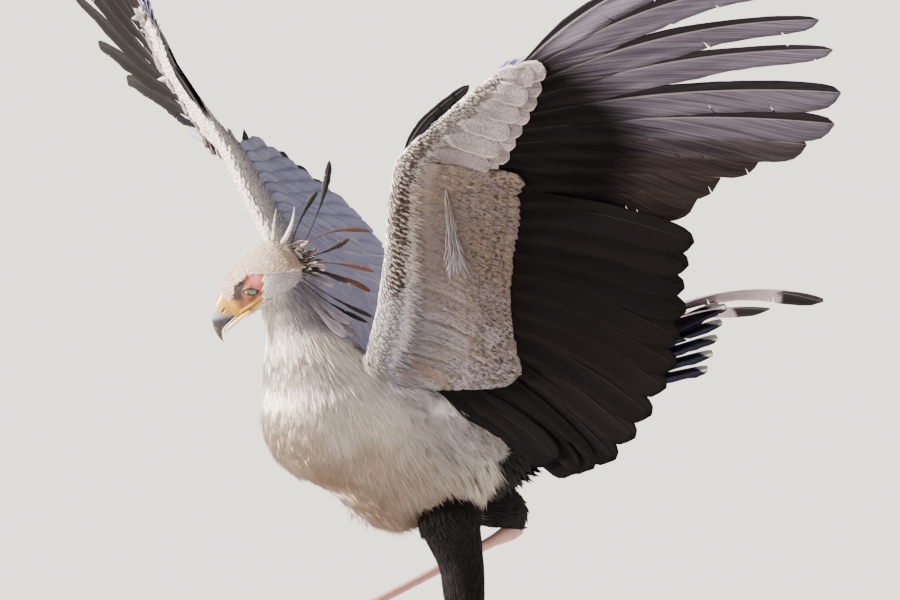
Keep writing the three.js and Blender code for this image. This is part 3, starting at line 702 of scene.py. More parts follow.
def flesh_half(station, share):
    thick = np.interp(station, STATIONS, FLESH_HALF)
    rear = np.interp(station, STATIONS, FLESH_REAR)
    stops = np.array([thick * 0.35, thick * 0.85, thick, (thick + rear) / 2, rear])
    return np.interp(share, [0, 0.12, 0.36, 0.7, 1], stops)


# %% [markdown]
# The flesh of a wing is a closed wedge. Small feathers lie from its front edge back and outward,
# white below, flecked and barred with brown, and a smooth lilac grey above. Marks are noted here,
# where it is known which face and share of the wing a point is on.

# %% Wings' flesh
WING_DEPTH = 0.0025
THINNEST_HALF = 0.001
WING_ROWS = 46
ACROSS_SHARES = np.array([0, 0.03, 0.08, 0.15, 0.25, 0.36, 0.5, 0.64, 0.78, 0.9, 1])
WING_TRACT = {("left", -1): 10, ("left", 1): 11, ("right", -1): 12, ("right", 1): 13}
UNDERSIDES = [WING_TRACT["left", -1], WING_TRACT["right", -1]]


def farther_out(wing, station):
    if station < 0.98:
        return wing.edge(wing.lead, min(1, station + 0.02))
    front = wing.edge(wing.lead, station)
    return front + (front - wing.edge(wing.lead, 0.96))


def note_wing(wing, sections, flows, where):
    """Marks of a wing's small feathers; where holds tract, share, station and run of each point."""
    tracts, shares, stations, runs = np.array(where).T
    under = np.isin(tracts, UNDERSIDES)
    hand = rise(stations, 0.4, 0.6)
    near = wing is LEFT
    # The near wing's lining gets thick grey and tan: partly its own colour, mostly painted shade over pale
    # feathers.
    lining_grey_and_shade = 0.12 + (0.75 if near else 0.3) * rise(shares, 0.02, 0.12)
    back_grey = 0.2 + 0.75 * rise(shares, 0.02, 0.25)
    bars = near * rise(shares, 0.02, 0.05) * rise(shares, 0.27, 0.17) * rise(stations, 0.1, 0.2)
    note(sections, unit(np.array(flows)), tract=tracts,
         long=0.0075 + 0.022 * rise(shares, 0.03, 0.55) * (1 - 0.35 * hand),
         wide=0.005 + 0.005 * rise(shares, 0, 0.6), lift=0.02 if near else 0.002,
         grey=np.where(under, lining_grey_and_shade, back_grey),
         tan=np.where(under, (0.5 if near else 0.1) * rise(stations, 0.0, 0.3), 0.05),
         speck=np.where(under, 0.55 * rise(shares, 0.2, 0.6) * rise(stations, 0, 0.12), 0.0),
         run=runs, bald=rise(shares, 0.6, 0.72), bar=np.where(under, bars, 0))


def wing_flesh(wing):
    sections, flows, where = [], [], []
    fronts = wing.edge(wing.lead, np.linspace(0, 1, WING_ROWS))
    length = np.concatenate([[0], np.cumsum(np.linalg.norm(np.diff(fronts, axis=0), axis=1))])
    for station, run in zip(np.linspace(0, 1, WING_ROWS), length):
        front, rear = wing.edge(wing.lead, station), wing.edge(wing.rear, station)
        root, tip = wing.flight(station)
        toward_tip = unit(wing.place(station, *tip) - wing.place(station, *root))
        straight = unit(wing.place(station, *rear) - wing.place(station, *front))
        along_edge = unit(wing.place(station, *farther_out(wing, station)) - wing.place(station, *front))
        section, section_flow = [], []
        for face, order in ((1, ACROSS_SHARES), (-1, ACROSS_SHARES[::-1])):
            for share in order:
                half = max(flesh_half(station, share) - WING_DEPTH, THINNEST_HALF)
                a, b = front + (rear - front) * share
                section.append(wing.place(station, a, b, face * half))
                beside = 0 if wing is LEFT else 4 * rise(share, 0.3, 0.05)
                backward = straight * (1.1 - share) + toward_tip * (0.45 + share)
                section_flow.append(backward + along_edge * beside)
                where.append((WING_TRACT[wing.name, face], share, station, run))
        sections.append(section)
        flows.append(section_flow)
    sections = np.array(sections)
    note_wing(wing, sections, flows, where)
    inside = sections[0] + np.array([-wing.side * 0.058, 0.01, -0.034])
    return loft("wing_flesh_" + wing.name, np.concatenate([[inside], sections]))


for wing in (LEFT, RIGHT):
    skin_parts.append(wing_flesh(wing))
print("wings' flesh:", WING_ROWS, "sections each")

# %% [markdown]
# Thighs are clothed in black to the heel, like trousers, under the belly's long pale feathers.
# Round rings follow the leg's bend, a little slimmer than the solid, as the feathers fill it out.

# %% Thighs
THIGH_DEPTH = 0.0035
THIGH_SIDES = 24
TRACT.update(thigh_left=20, thigh_right=21, stump=22)
LEFT_THIGH = refine([
    [0.054, -0.06, 0.52, 0.046],
    [0.06, -0.062, 0.456, 0.043],
    [0.058, -0.04, 0.388, 0.031],
    [0.056, -0.032, 0.34, 0.027],
    [0.055, -0.024, 0.312, 0.017],
    [0.055, -0.023, 0.303, 0.0095],
], 5)
RIGHT_THIGH = refine([
    [-0.05, -0.09, 0.484, 0.044],
    [-0.06, -0.05, 0.462, 0.042],
    [-0.059, 0.01, 0.453, 0.037],
    [-0.051, 0.06, 0.447, 0.032],
    [-0.046, 0.092, 0.44, 0.03],
    [-0.045, 0.108, 0.427, 0.024],
    [-0.045, 0.116, 0.411, 0.0125],
], 5)
for name, rows, barred in (("left", LEFT_THIGH, 0.5), ("right", RIGHT_THIGH, 0)):
    slim = rows.copy()
    slim[:, 3] = np.maximum(slim[:, 3] - THIGH_DEPTH, slim[:, 3] * 0.55)
    if barred:
        slim[:, 3] -= 0.018 * rise(slim[:, 2], 0.448, 0.49)
    rings = limb_rings(slim, THIGH_SIDES)
    way = unit(np.gradient(slim[:, :3], axis=0))
    down = np.repeat(way[:, None], THIGH_SIDES, axis=1)
    share = np.repeat(np.linspace(0, 1, len(slim))[:, None], THIGH_SIDES, axis=1)
    height = rings[..., 2]
    clothed = rise(height, 0.484, 0.498) if barred else rise(rings[..., 1], -0.05, -0.064)
    note(rings, down, tract=np.where(clothed > 0.5, TRACT["belly"], TRACT["thigh_" + name]),
         long=0.017 + (0.034 if barred else 0.012) * clothed,
         wide=0.007 + 0.004 * clothed, lift=0.07 + 0.2 * clothed,
         tan=0.35 * clothed, dark=1 - clothed, bar=barred * rise(share, 0.45, 0.7))
    skin_parts.append(loft("thigh_flesh_" + name, rings))
print("thighs:", len(LEFT_THIGH), "and", len(RIGHT_THIGH), "rings")

# %% [markdown]
# The root of the tail is a short stump under black coverts that carries the quills.

# %% Tail stump
STUMP_SIDES = 24
# y, top, bottom, half width
STUMP = refine([
    [0.084, 0.594, 0.512, 0.038],
    [0.116, 0.592, 0.532, 0.032],
    [0.15, 0.592, 0.554, 0.024],
    [0.18, 0.594, 0.576, 0.015],
], 4)
rings = np.array([body_ring(*row, STUMP_SIDES) for row in STUMP])
note(rings, unit([0, 1, 0.12]), tract=TRACT["stump"], long=0.05, wide=0.012, lift=0.12, dark=1)
skin_parts.append(loft("stump_flesh", rings))
print("the flesh has", len(skin_parts), "parts")

# %% [markdown]
# All the flesh is run together with a voxel remesh, so that no seam or crease is left between
# neck, wings, thighs and torso, as Booleans would leave.

# %% One skin
SKIN_VOXEL = 0.0036
skin = melt(join("skin", *skin_parts), SKIN_VOXEL, 12)
print("the melted skin has", len(skin.data.polygons), "faces")

# %% [markdown]
# A mesh keeps values under a name, one for each point. Materials and Geometry Nodes both read
# them there, so skin and feathers carry the same markings.

# %% Values on a mesh


def vertex_array(mesh, key="co", size=3):
    flat = np.zeros(len(mesh.vertices) * size, np.float32)
    mesh.vertices.foreach_get(key, flat)
    return flat.reshape(-1, size).astype(float)


def put(mesh, name, values):
    kind, field = ("FLOAT_VECTOR", "vector") if np.ndim(values) == 2 else ("FLOAT", "value")
    layer = mesh.attributes.get(name) or mesh.attributes.new(name, kind, "POINT")
    layer.data.foreach_set(field, np.ravel(values).astype(np.float32))


def stored_values(mesh, name):
    values = np.zeros(len(mesh.vertices))
    mesh.attributes[name].data.foreach_get("value", values)
    return values


# %% [markdown]
# Where neck, flank and thigh meet the torso, the remesh leaves hollows. Each point there is moved
# toward its neighbours many times; a smooth modifier would thin the wings too.

# %% Easing the hollows
EASING = 40


def blend(mesh, values, rounds):
    edges = np.zeros(len(mesh.edges) * 2, np.int32)
    mesh.edges.foreach_get("vertices", edges)
    edges = edges.reshape(-1, 2)
    here, there = np.concatenate([edges, edges[:, ::-1]]).T
    count = 1 + np.bincount(here, minlength=len(values))
    for _ in range(rounds):
        total = [column + np.bincount(here, column[there], len(values)) for column in values.T]
        values = np.stack(total, axis=-1) / count[:, None]
    return values


def ease_body(mesh):
    points = vertex_array(mesh)
    eased = blend(mesh, points, EASING)
    share = rise(points[:, 1], 0.03, -0.01) * rise(points[:, 2], 0.44, 0.47) * rise(points[:, 2], 0.7, 0.66)
    share = share * (1 - rise(points[:, 2], 0.6, 0.64) * rise(np.abs(points[:, 0]), 0.055, 0.065))
    moved = points + (eased - points) * share[:, None]
    mesh.vertices.foreach_set("co", moved.ravel().astype(np.float32))
    mesh.update()
    print("points eased:", int(np.sum(share > 0)))


ease_body(skin.data)

# %% [markdown]
# Each point of the skin takes the lie and marks of its nearest points in the flesh, then they are
# evened out. An unwrap gives every feather a small spot of its own for the baked colours.

# %% Marks on the skin
NEIGHBOURS = 6
CLOSEST = 0.002
BLENDING = 14
source = np.concatenate(lie_points)
source_flow = np.concatenate(lie_flow)
source_marks = np.concatenate(lie_marks)
tree = KDTree(len(source))
for i, p in enumerate(source):
    tree.insert(p, i)
tree.balance()


def mark_skin(mesh):
    points = vertex_array(mesh)
    normals = vertex_array(mesh, "normal")
    flows = np.zeros((len(points), 3))
    marks = np.zeros((len(points), len(MARKS)))
    for k, p in enumerate(points):
        found = tree.find_n(p, NEIGHBOURS)
        index = [f[1] for f in found]
        weight = np.array([1 / (f[2] + CLOSEST) ** 2 for f in found])
        weight /= weight.sum()
        flows[k] = weight @ source_flow[index]
        marks[k] = weight @ source_marks[index]
        marks[k, 0] = source_marks[index[0], 0]
    blended = blend(mesh, np.hstack([flows, marks[:, 1:]]), BLENDING)
    flows, marks[:, 1:] = blended[:, :3], blended[:, 3:]
    flows -= normals * np.sum(flows * normals, axis=1)[:, None]
    put(mesh, "flow", unit(flows))
    for i, key in enumerate(MARKS):
        put(mesh, key, marks[:, i])


mark_skin(skin.data)
print("the skin took its marks from", len(source), "points")


UNWRAP_ANGLE = math.radians(60)
UNWRAP_GAP = 0.002


def unwrap(made):
    edit_whole(made, lambda: bpy.ops.uv.smart_project(angle_limit=UNWRAP_ANGLE, island_margin=UNWRAP_GAP))
    made.data.uv_layers[0].name = "SkinMap"


unwrap(skin)
print("the skin has", len(skin.data.polygons), "faces")

# %% [markdown]
# A feather's colours. The marks on the skin say how grey, tan or black it is; fine lines run out
# from the shaft like barbs, and specks and bars keep to the middle of the vane. An image would
# need a patch for each feather.

# %% Feather paints
CREAM = (0.9, 0.81, 0.74)
LILAC = (0.36, 0.33, 0.385)
# TAN is darker than the feathers' own tan, as it also carries the painted shade low on the belly.
TAN = (0.5, 0.37, 0.285)
BROWN = (0.1, 0.062, 0.045)
BLACK = (0.0065, 0.005, 0.0055)
BAR_BROWN = (0.03, 0.018, 0.014)
TROUSER_BROWN = (0.13, 0.075, 0.05)
WAVE = 6.283


def barbs(paint, count=46, slant=0.7):
    across, along = paint.vane()
    off = paint.absolute(across - 0.5)
    lines = paint.sine((along - off * slant * 0.25) * count * WAVE)
    return lines, off, along


def shaded(paint, colour, shade):
    grey = paint.node("ShaderNodeCombineColor", None, {0: shade, 1: shade, 2: shade})
    return paint.mix(1.0, colour, grey, "MULTIPLY")


def plumage(paint, uneven=1.0):
    patch = (paint.noise(22, 3) - 0.5) * uneven + 0.5
    hair = (paint.read("tint") - 0.5) * 0.3 * uneven
    base = paint.mix(paint.clamp(paint.read("grey") + (patch - 0.5) * 0.3 + hair, 0.05, 0.95), CREAM, LILAC)
    return paint.mix(paint.clamp(paint.read("tan") + (patch - 0.5) * 0.7, 0.1, 0.9), base, TAN)


def coat_paint(name, fine=0.3, uneven=1.0, painted_light=1.0):
    paint = Paint(name)
    lines, off, along = barbs(paint, 30)
    tint, dark = paint.read("tint"), paint.read("dark")
    speck, bar = paint.read("speck"), paint.read("bar")
    # painted_light scales the coat's colour: below 1 it paints shade, above 1 it paints light.
    shade = 0.93 * painted_light + (tint - 0.5) * 0.16 * uneven + lines * 0.02
    base = shaded(paint, plumage(paint, uneven), shade)
    spot = paint.clamp(speck + (tint - 0.5) * 0.8, 0.42, 0.5) * paint.clamp(off, 0.3, 0.16)
    spot = spot * paint.clamp(along, 0.5, 0.6) * paint.clamp(along, 0.9, 0.8)
    base = paint.mix(spot * 0.85, base, BROWN)
    waves = paint.sine(paint.read("run") * 1000 + tint * 0.6)
    streak = paint.clamp(bar, 0.3, 0.6) * paint.clamp(waves, -0.25, 0.05)
    base = paint.mix(streak * paint.clamp(dark, 0.4, 0.2) * 0.96, base, BAR_BROWN)
    bands = paint.clamp(bar, 0.2, 0.5) * paint.clamp(paint.sine(along * 22 + tint * 5), 0.2, 0.7)
    night = shaded(paint, paint.mix(bands, BLACK, TROUSER_BROWN), 0.8 + tint * 0.5)
    base = paint.mix(paint.clamp(dark + (tint - 0.5) * 0.12, 0.42, 0.58), base, night)
    shaft = paint.clamp(off, 0.09, 0.03) * paint.clamp(along, 0.1, 0.4)
    return paint.finish(base, 0.7, bump=lines * 0.5 + shaft, strength=fine, distance=0.0006,
                        Sheen_Weight=0.02, Sheen_Roughness=0.5, Specular_IOR_Level=0.08)


def skin_paint():
    paint = Paint("skin_under_feathers")
    base = paint.mix(paint.clamp(paint.read("dark"), 0.42, 0.6), plumage(paint), BLACK)
    return paint.finish(base, 0.8, bump=paint.noise(600, 2), strength=0.5, distance=0.002)


coat_material = coat_paint("body_feathers")
# The near wing's lining is painted at half brightness as shade; the crown's feathers are painted brighter as
# sunlit.
underwing_material = coat_paint("underwing_feathers", painted_light=0.52)
head_coat_material = coat_paint("head_feathers", fine=0.12, uneven=0.35, painted_light=1.14)
skin.data.materials.append(skin_paint())
print("paints for small feathers:", len([m for m in bpy.data.materials if "feathers" in m.name]))

# %% [markdown]
# Body feathers come in a few soft shapes: a thin leaf that curls toward the body, with loose
# strands. Each is closed, one unit long and has a few dozen faces, as it is repeated thousands
# of times. Six of a kind are enough to hide that.

# %% Small feathers
SOFT_SHAPES = 6


def leaf(rows, half, curl, thick, arch):
    rings = []
    for s in np.linspace(0, 1, rows):
        wide = half * (math.sin(math.pi * min(1, 0.12 + 0.8 * s)) ** 0.7 if s < 1 else 0.06)
        up = curl * s * (1 - s) * 2 - curl * 0.6 * s * s
        t = thick * (1 - 0.7 * s)
        low = up - arch * wide
        rings.append([(-wide, s, low), (0, s + 0.02, up + t), (wide, s, low), (0, s + 0.02, up - t)])
    return np.array(rings)


def soft_feather(index, strands, half=0.5, curl=0.1, spread=0.7, thick=0.012, rows=4, body=1.0, fine=0.085,
                 arch=0.25):
    """A leaf with loose strands. body is the leaf's share of the length, fine the strands' width."""
    rings = leaf(rows, half, curl, thick, arch) * (1, body, 1)
    points = rings.reshape(-1, 3).tolist()
    faces = loft_faces(rows, 4)
    vane = [(p[0] / (2 * half) + 0.5, p[1]) for p in points]
    for k in range(strands):
        side = (k + 0.5) / strands * 2 - 1 + draw.uniform(-0.14, 0.14)
        start = np.array([side * half * 0.6, (0.12 + 0.36 * draw.random()) * body, curl * 0.35])
        reach = 0.86 + 0.34 * draw.random() - 0.2 * side * side
        end = np.array([side * half * (0.8 + spread * draw.random()), reach, curl * draw.uniform(-0.9, 0.8)])
        thin = half * fine
        at = len(points)
        points += [(start + (-thin, 0, 0)).tolist(), (start + (thin, 0, 0)).tolist()]
        points += [(start + (0, 0, thin * 0.7)).tolist(), end.tolist()]
        faces += [(at, at + 1, at + 2), (at, at + 3, at + 1), (at + 1, at + 3, at + 2), (at + 2, at + 3, at)]
        vane += [(0.5 + side * 0.3, 0.4)] * 3 + [(0.5 + side * 0.45, 1)]
    made = make_object("soft_%d_%d" % (strands, index), points, faces)
    face_outward(made)
    layer = made.data.uv_layers.new(name="Vane")
    for loop in made.data.loops:
        layer.data[loop.index].uv = vane[loop.vertex_index]
    made.data.shade_smooth()
    return made


def shapes(name, *options, **settings):
    kept = bpy.data.collections.new(name)
    for index in range(SOFT_SHAPES):
        made = soft_feather(index, *options, **settings)
        bpy.context.scene.collection.objects.unlink(made)
        kept.objects.link(made)
    return kept


SILKY = shapes("silky", 7, half=0.5, curl=0.07, spread=0.35, rows=3, body=0.8, fine=0.11)
SHAGGY = shapes("shaggy", 8, half=0.5, curl=0.1, spread=0.8, rows=3, body=0.62, fine=0.1)
SLEEK = shapes("sleek", 2, half=0.5, curl=0.05, spread=0.2, thick=0.02, arch=0.1)
FLAT = shapes("flat", 1, half=0.5, curl=0.02, spread=0.1, thick=0.008, arch=0.05)
WISPY = shapes("wispy", 5, half=0.42, curl=0.1, spread=0.8, thick=0.02, rows=3, body=0.75, fine=0.12)
TINY = shapes("tiny", 3, half=0.5, curl=0.15, spread=0.2, thick=0.008, rows=3, arch=0.12, body=0.85)

# %% [markdown]
# Small feathers follow a curved surface, so Geometry Nodes set them: points are strewn over part
# of the skin, and each feather is turned to the flow stored there, lifted and scaled. Particle
# hair would be quicker to set up, but it isn't mesh.

# %% The coat's node tree
DENSEST = 600000.0
SPOT_SIZE = 0.0022


def build_coat_tree():
    tree = bpy.data.node_groups.new("coat", "GeometryNodeTree")
    face = tree.interface
    face.new_socket("Geometry", in_out="INPUT", socket_type="NodeSocketGeometry")
    for name, kind in (("Feathers", "Collection"), ("Spacing", "Float"), ("Seed", "Int"),
                       ("Unrest", "Float"), ("Material", "Material")):
        face.new_socket(name, in_out="INPUT", socket_type="NodeSocket" + kind)
    face.new_socket("Geometry", in_out="OUTPUT", socket_type="NodeSocketGeometry")
    inputs = tree.nodes.new("NodeGroupInput")
    output = tree.nodes.new("NodeGroupOutput")

    def node(kind, settings=None, links=None):
        made = tree.nodes.new(kind)
        for key, value in (settings or {}).items():
            setattr(made, key, value)
        for key, value in (links or {}).items():
            if isinstance(value, bpy.types.NodeSocket):
                tree.links.new(value, made.inputs[key])
            else:
                made.inputs[key].default_value = value
        return made

    def maths(operation, first, second):
        return node("ShaderNodeMath", {"operation": operation}, {0: first, 1: second}).outputs[0]

    def stored(name, kind="FLOAT"):
        return node("GeometryNodeInputNamedAttribute", {"data_type": kind}, {"Name": name}).outputs[0]

    def chance(low, high, seed):
        made = node("FunctionNodeRandomValue", {"data_type": "FLOAT"}, {"Seed": seed})
        made.inputs[2].default_value = low
        made.inputs[3].default_value = high
        return made.outputs[1]

    def keep(geometry, name, value, kind, domain):
        made = node("GeometryNodeStoreNamedAttribute", {"data_type": kind, "domain": domain},
                    {"Geometry": geometry, "Name": name})
        tree.links.new(value, made.inputs["Value"])
        return made.outputs[0]

    strewn = node("GeometryNodeDistributePointsOnFaces", {"distribute_method": "POISSON"}, {
        "Mesh": inputs.outputs["Geometry"],
        "Distance Min": inputs.outputs["Spacing"],
        "Density Max": DENSEST,
        "Density Factor": stored("here"),
        "Seed": inputs.outputs["Seed"],
    })
    lie = node("FunctionNodeAxesToRotation", {"primary_axis": "Z", "secondary_axis": "Y"}, {
        "Primary Axis": strewn.outputs["Normal"], "Secondary Axis": stored("flow", "FLOAT_VECTOR"),
    })
    unrest = inputs.outputs["Unrest"]
    turn = node("ShaderNodeCombineXYZ", None, {
        0: maths("MULTIPLY", stored("lift"), chance(0.6, 1.5, 1)),
        1: maths("MULTIPLY", chance(-1, 1, 2), unrest),
        2: maths("MULTIPLY", chance(-1, 1, 3), unrest),
    })
    local = node("FunctionNodeEulerToRotation", None, {0: turn.outputs[0]})
    turned = node("FunctionNodeRotateRotation", {"rotation_space": "LOCAL"}, {
        "Rotation": lie.outputs[0], "Rotate By": local.outputs[0],
    })
    length = maths("MULTIPLY", stored("long"), chance(0.72, 1.18, 4))
    width = maths("MULTIPLY", stored("wide"), chance(0.8, 1.2, 5))
    size = node("ShaderNodeCombineXYZ", None, {0: width, 1: length, 2: length})
    kinds = node("GeometryNodeCollectionInfo", None, {
        "Collection": inputs.outputs["Feathers"], "Separate Children": True, "Reset Children": True,
    })
    points = keep(strewn.outputs["Points"], "tint", chance(0, 1, 6), "FLOAT", "POINT")
    set_out = node("GeometryNodeInstanceOnPoints", None, {
        "Points": points, "Instance": kinds.outputs[0], "Pick Instance": True,
        "Rotation": turned.outputs[0], "Scale": size.outputs[0],
    })
    spots = keep(set_out.outputs[0], "spot", stored("SkinMap", "FLOAT_VECTOR"), "FLOAT_VECTOR", "INSTANCE")
    real = node("GeometryNodeRealizeInstances", None, {"Geometry": spots}).outputs[0]
    patch = node("ShaderNodeVectorMath", {"operation": "MULTIPLY"}, {
        0: stored("Vane", "FLOAT_VECTOR"), 1: (SPOT_SIZE, SPOT_SIZE, 0),
    })
    baked = node("ShaderNodeVectorMath", {"operation": "ADD"}, {
        0: patch.outputs[0], 1: stored("spot", "FLOAT_VECTOR"),
    })
    mapped = keep(real, "OFBake", baked.outputs[0], "FLOAT2", "CORNER")
    painted = node("GeometryNodeSetMaterial", None, {
        "Geometry": mapped, "Material": inputs.outputs["Material"],
    })
    tree.links.new(painted.outputs[0], output.inputs[0])
    return tree


coat_tree = build_coat_tree()
print("the coat's tree has", len(coat_tree.nodes), "nodes")

# %% [markdown]
# A copy of the skin carries the tree as a modifier. Its inputs are set by their identifiers, and
# the result is kept as a plain mesh without the marks that no material reads.

# %% Growing a coat
NO_LONGER_READ = ("spot", "flow", "here", "lift", "long", "wide", "tract", "bald")


def grow(name, base, here, feathers, spacing, seed, unrest=0.14, material=coat_material):
    """Grows feathers on the part of a base mesh where here is 1, as a mesh of their own."""
    put(base.data, "here", here)
    carrier = add_object(name, base.data.copy())
    modifier = carrier.modifiers.new("coat", "NODES")
    modifier.node_group = coat_tree
    values = {"Feathers": feathers, "Spacing": spacing, "Seed": seed, "Unrest": unrest, "Material": material}
    for item in coat_tree.interface.items_tree:
        if item.in_out == "INPUT" and item.name in values:
            modifier[item.identifier] = values[item.name]
    bake_modifiers(carrier)
    for extra in NO_LONGER_READ:
        if extra in carrier.data.attributes:
            carrier.data.attributes.remove(carrier.data.attributes[extra])
    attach(carrier, "root")
    print(name, "has", len(carrier.data.polygons), "faces")
    return carrier


# %% [markdown]
# The coat over the body, in pieces by tract, so that the feathers' shape and spacing can differ
# and no piece grows too large: shaggy belly, sleek back, small neat feathers on the wings.

# %% The coat of the body
tracts = np.round(stored_values(skin.data, "tract"))
bald = stored_values(skin.data, "bald")


def part(*names):
    return np.isin(tracts, [TRACT[n] for n in names]).astype(float)


def wing_part(name, face):
    return (tracts == WING_TRACT[name, face]) * (1 - bald)


grow("coat_breast", skin, part("breast"), SILKY, 0.0028, 1, unrest=0.12)
grow("coat_belly", skin, part("belly"), SHAGGY, 0.0033, 2, unrest=0.22)
grow("coat_flank", skin, part("flank"), SHAGGY, 0.0031, 3, unrest=0.18)
grow("coat_back", skin, part("back", "vent", "stump"), SLEEK, 0.0045, 4)
grow("coat_neck", skin, part("neck"), WISPY, 0.0024, 5, unrest=0.13)
grow("coat_thigh_left", skin, part("thigh_left"), SLEEK, 0.0026, 6, unrest=0.08)
grow("coat_thigh_right", skin, part("thigh_right"), SLEEK, 0.003, 7, unrest=0.12)
grow("coat_wing_left_under", skin, wing_part("left", -1), SLEEK, 0.003, 8, unrest=0.08,
     material=underwing_material)
grow("coat_wing_left_over", skin, wing_part("left", 1), FLAT, 0.0036, 9, unrest=0.06)
grow("coat_wing_right_under", skin, wing_part("right", -1), FLAT, 0.0032, 10, unrest=0.04)
grow("coat_wing_right_over", skin, wing_part("right", 1), FLAT, 0.003, 11, unrest=0.04)

# %% [markdown]
# A large feather is a thin vane on a tapering shaft, solid, since a card would show its edge. Its
# rings slant forward as barbs do, so a narrow notch in the vane opens like a real split.

# %% Large feathers
SPLIT_GAP = 0.0016
ACROSS_STEPS = np.array([1, 0.72, 0.38, 0.5, 0, 0.5, 0.38, 0.72, 1])
SIDES = np.array([1, 1, 1, 1, 0, -1, -1, -1, -1])
SHAFT_AT = np.array([False, False, False, True, False, True, False, False, False])


def vane_widths(s, cut, size, halves, profile, slant, rough, deep):
    """Half widths of both vanes along a feather, with its notches, for each point across it."""
    stops = np.array(profile)
    edges = []
    for half in halves:
        wide = np.full(len(s), half)
        for _ in range(6):
            at = s + slant * wide / size
            wide = 0.5 * wide + 0.5 * half * np.interp(at, stops[:, 0], stops[:, 1], right=0.02)
        wide *= 1 + rough * draw.standard_normal(len(s))
        edges.append(wide)
    for c in cut:
        which = 1 if draw.random() < 0.75 else 0
        edges[which][np.argmin(np.abs(s - c))] *= draw.uniform(*deep)
    return np.where(SIDES > 0, edges[0][:, None], edges[1][:, None])


def end_faces(first, count):
    m = len(SIDES)
    quads = []
    for i in range(m - 1):
        for ring_at, turned in ((0, False), (count - 1, True)):
            base = first + ring_at * 2 * m
            quad = (base + i, base + i + 1, base + 2 * m - 2 - i, base + 2 * m - 1 - i)
            quads.append(quad[::-1] if turned else quad)
    return quads


class Quills:
    """Large feathers gathered into one mesh."""

    def __init__(self, name):
        self.name = name
        self.points, self.faces, self.vanes, self.marks, self.counts = [], [], [], [], []
        self.size = 0

    def add(self, path, up, lead, trail, profile, hand=1, tilt=0.0, rows=24, splits=0, camber=0.12,
            thick=0.0004, shaft=0.0011, slant=0.75, rough=0.03, deep=(0.25, 0.75), **marks):
        """Adds a feather along a path. up is where its back looks, lead and trail are the widths
        of its vanes, deep is the share of the width that a split leaves, marks go to the paint."""
        s = np.linspace(0, 1, rows) ** 0.92
        cut = draw.uniform(0.35, 0.97, splits)
        probe = path(np.array([0, 0.5, 1.0]))
        size = np.linalg.norm(probe[1] - probe[0]) + np.linalg.norm(probe[2] - probe[1])
        gap = SPLIT_GAP / size
        s = np.unique(np.clip(np.concatenate([s, cut - gap, cut, cut + gap]), 0, 1))
        centre = path(s)
        way = unit(np.gradient(centre, axis=0))
        side = unit(np.cross(way, up)) * hand
        face = unit(up - way * np.sum(way * up, axis=-1)[:, None])
        turn = -hand * tilt
        side, face = (side * math.cos(turn) + np.cross(way, side) * math.sin(turn),
                      face * math.cos(turn) + np.cross(way, face) * math.sin(turn))
        wide = vane_widths(s, cut, size, (lead, trail), profile, slant, rough, deep)
        rod = (shaft * (1 - 0.82 * s))[:, None]
        reach = np.where(SHAFT_AT, rod, np.maximum(wide * ACROSS_STEPS, rod * 1.2)) * SIDES
        arch = -camber * np.abs(reach) ** 1.6 / max(lead, trail) ** 0.6
        fine = thick * (1 - 0.6 * s)[:, None]
        stem = np.where(SIDES == 0, rod * 0.9, 0)
        skew = slant * np.abs(reach) * rise(s, 0, 0.1)[:, None]
        skew = np.minimum(skew, (1.002 - s)[:, None] * size)
        grid = []
        for above in (1, -1):
            high = arch + above * (fine * (1 - 0.5 * ACROSS_STEPS) + stem)
            grid.append(centre[:, None] + side[:, None] * reach[..., None] + face[:, None] * high[..., None]
                        + way[:, None] * skew[..., None])
        self._keep(s, np.concatenate([grid[0], grid[1][:, ::-1]], axis=1), marks)

    def _keep(self, s, rings, marks):
        count, around = rings.shape[:2]
        across = 0.5 + 0.5 * SIDES * ACROSS_STEPS * np.where(SHAFT_AT, 0.08, 1)
        u = np.concatenate([across, across[::-1]])
        self.points.append(rings.reshape(-1, 3))
        order = np.array(loft_faces(count, around)[:-2])
        self.faces.extend((order + self.size).tolist())
        self.faces.extend(end_faces(self.size, count))
        self.vanes.append(np.stack([np.tile(u, count), np.repeat(s, around)], axis=-1))
        self.marks.append(marks)
        self.counts.append(count * around)
        self.size += count * around

    def build(self, material):
        made = make_object(self.name, np.concatenate(self.points), self.faces)
        mesh = made.data
        face_outward(made)
        vane = np.concatenate(self.vanes)
        corner = np.zeros(len(mesh.loops), int)
        mesh.loops.foreach_get("vertex_index", corner)
        mesh.uv_layers.new(name="Vane").data.foreach_set("uv", vane[corner].ravel())
        for key in self.marks[0]:
            values = np.array([marks[key] for marks in self.marks], float)
            put(mesh, key, np.repeat(values, self.counts, axis=0))
        put(mesh, "tint", np.repeat(draw.random(len(self.counts)), self.counts))
        columns = math.ceil(math.sqrt(2 * len(self.counts)))
        lines = math.ceil(len(self.counts) / columns)
        number = np.repeat(np.arange(len(self.counts)), self.counts)
        m = len(SIDES)
        lower = np.concatenate([(np.arange(c) % (2 * m)) >= m for c in self.counts])
        put(mesh, "lower", lower.astype(float))
        x = (number % columns + 0.04 + 0.44 * vane[:, 0] + 0.48 * lower) / columns
        y = (number // columns + 0.03 + 0.94 * vane[:, 1]) / lines
        baked = np.stack([x, y], axis=-1)
        mesh.uv_layers.new(name="OFBake").data.foreach_set("uv", baked[corner].ravel())
        mesh.materials.append(material)
        mesh.shade_smooth()
        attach(made, "root")
        print(self.name, "has", len(self.counts), "feathers and", len(mesh.polygons), "faces")
        return made

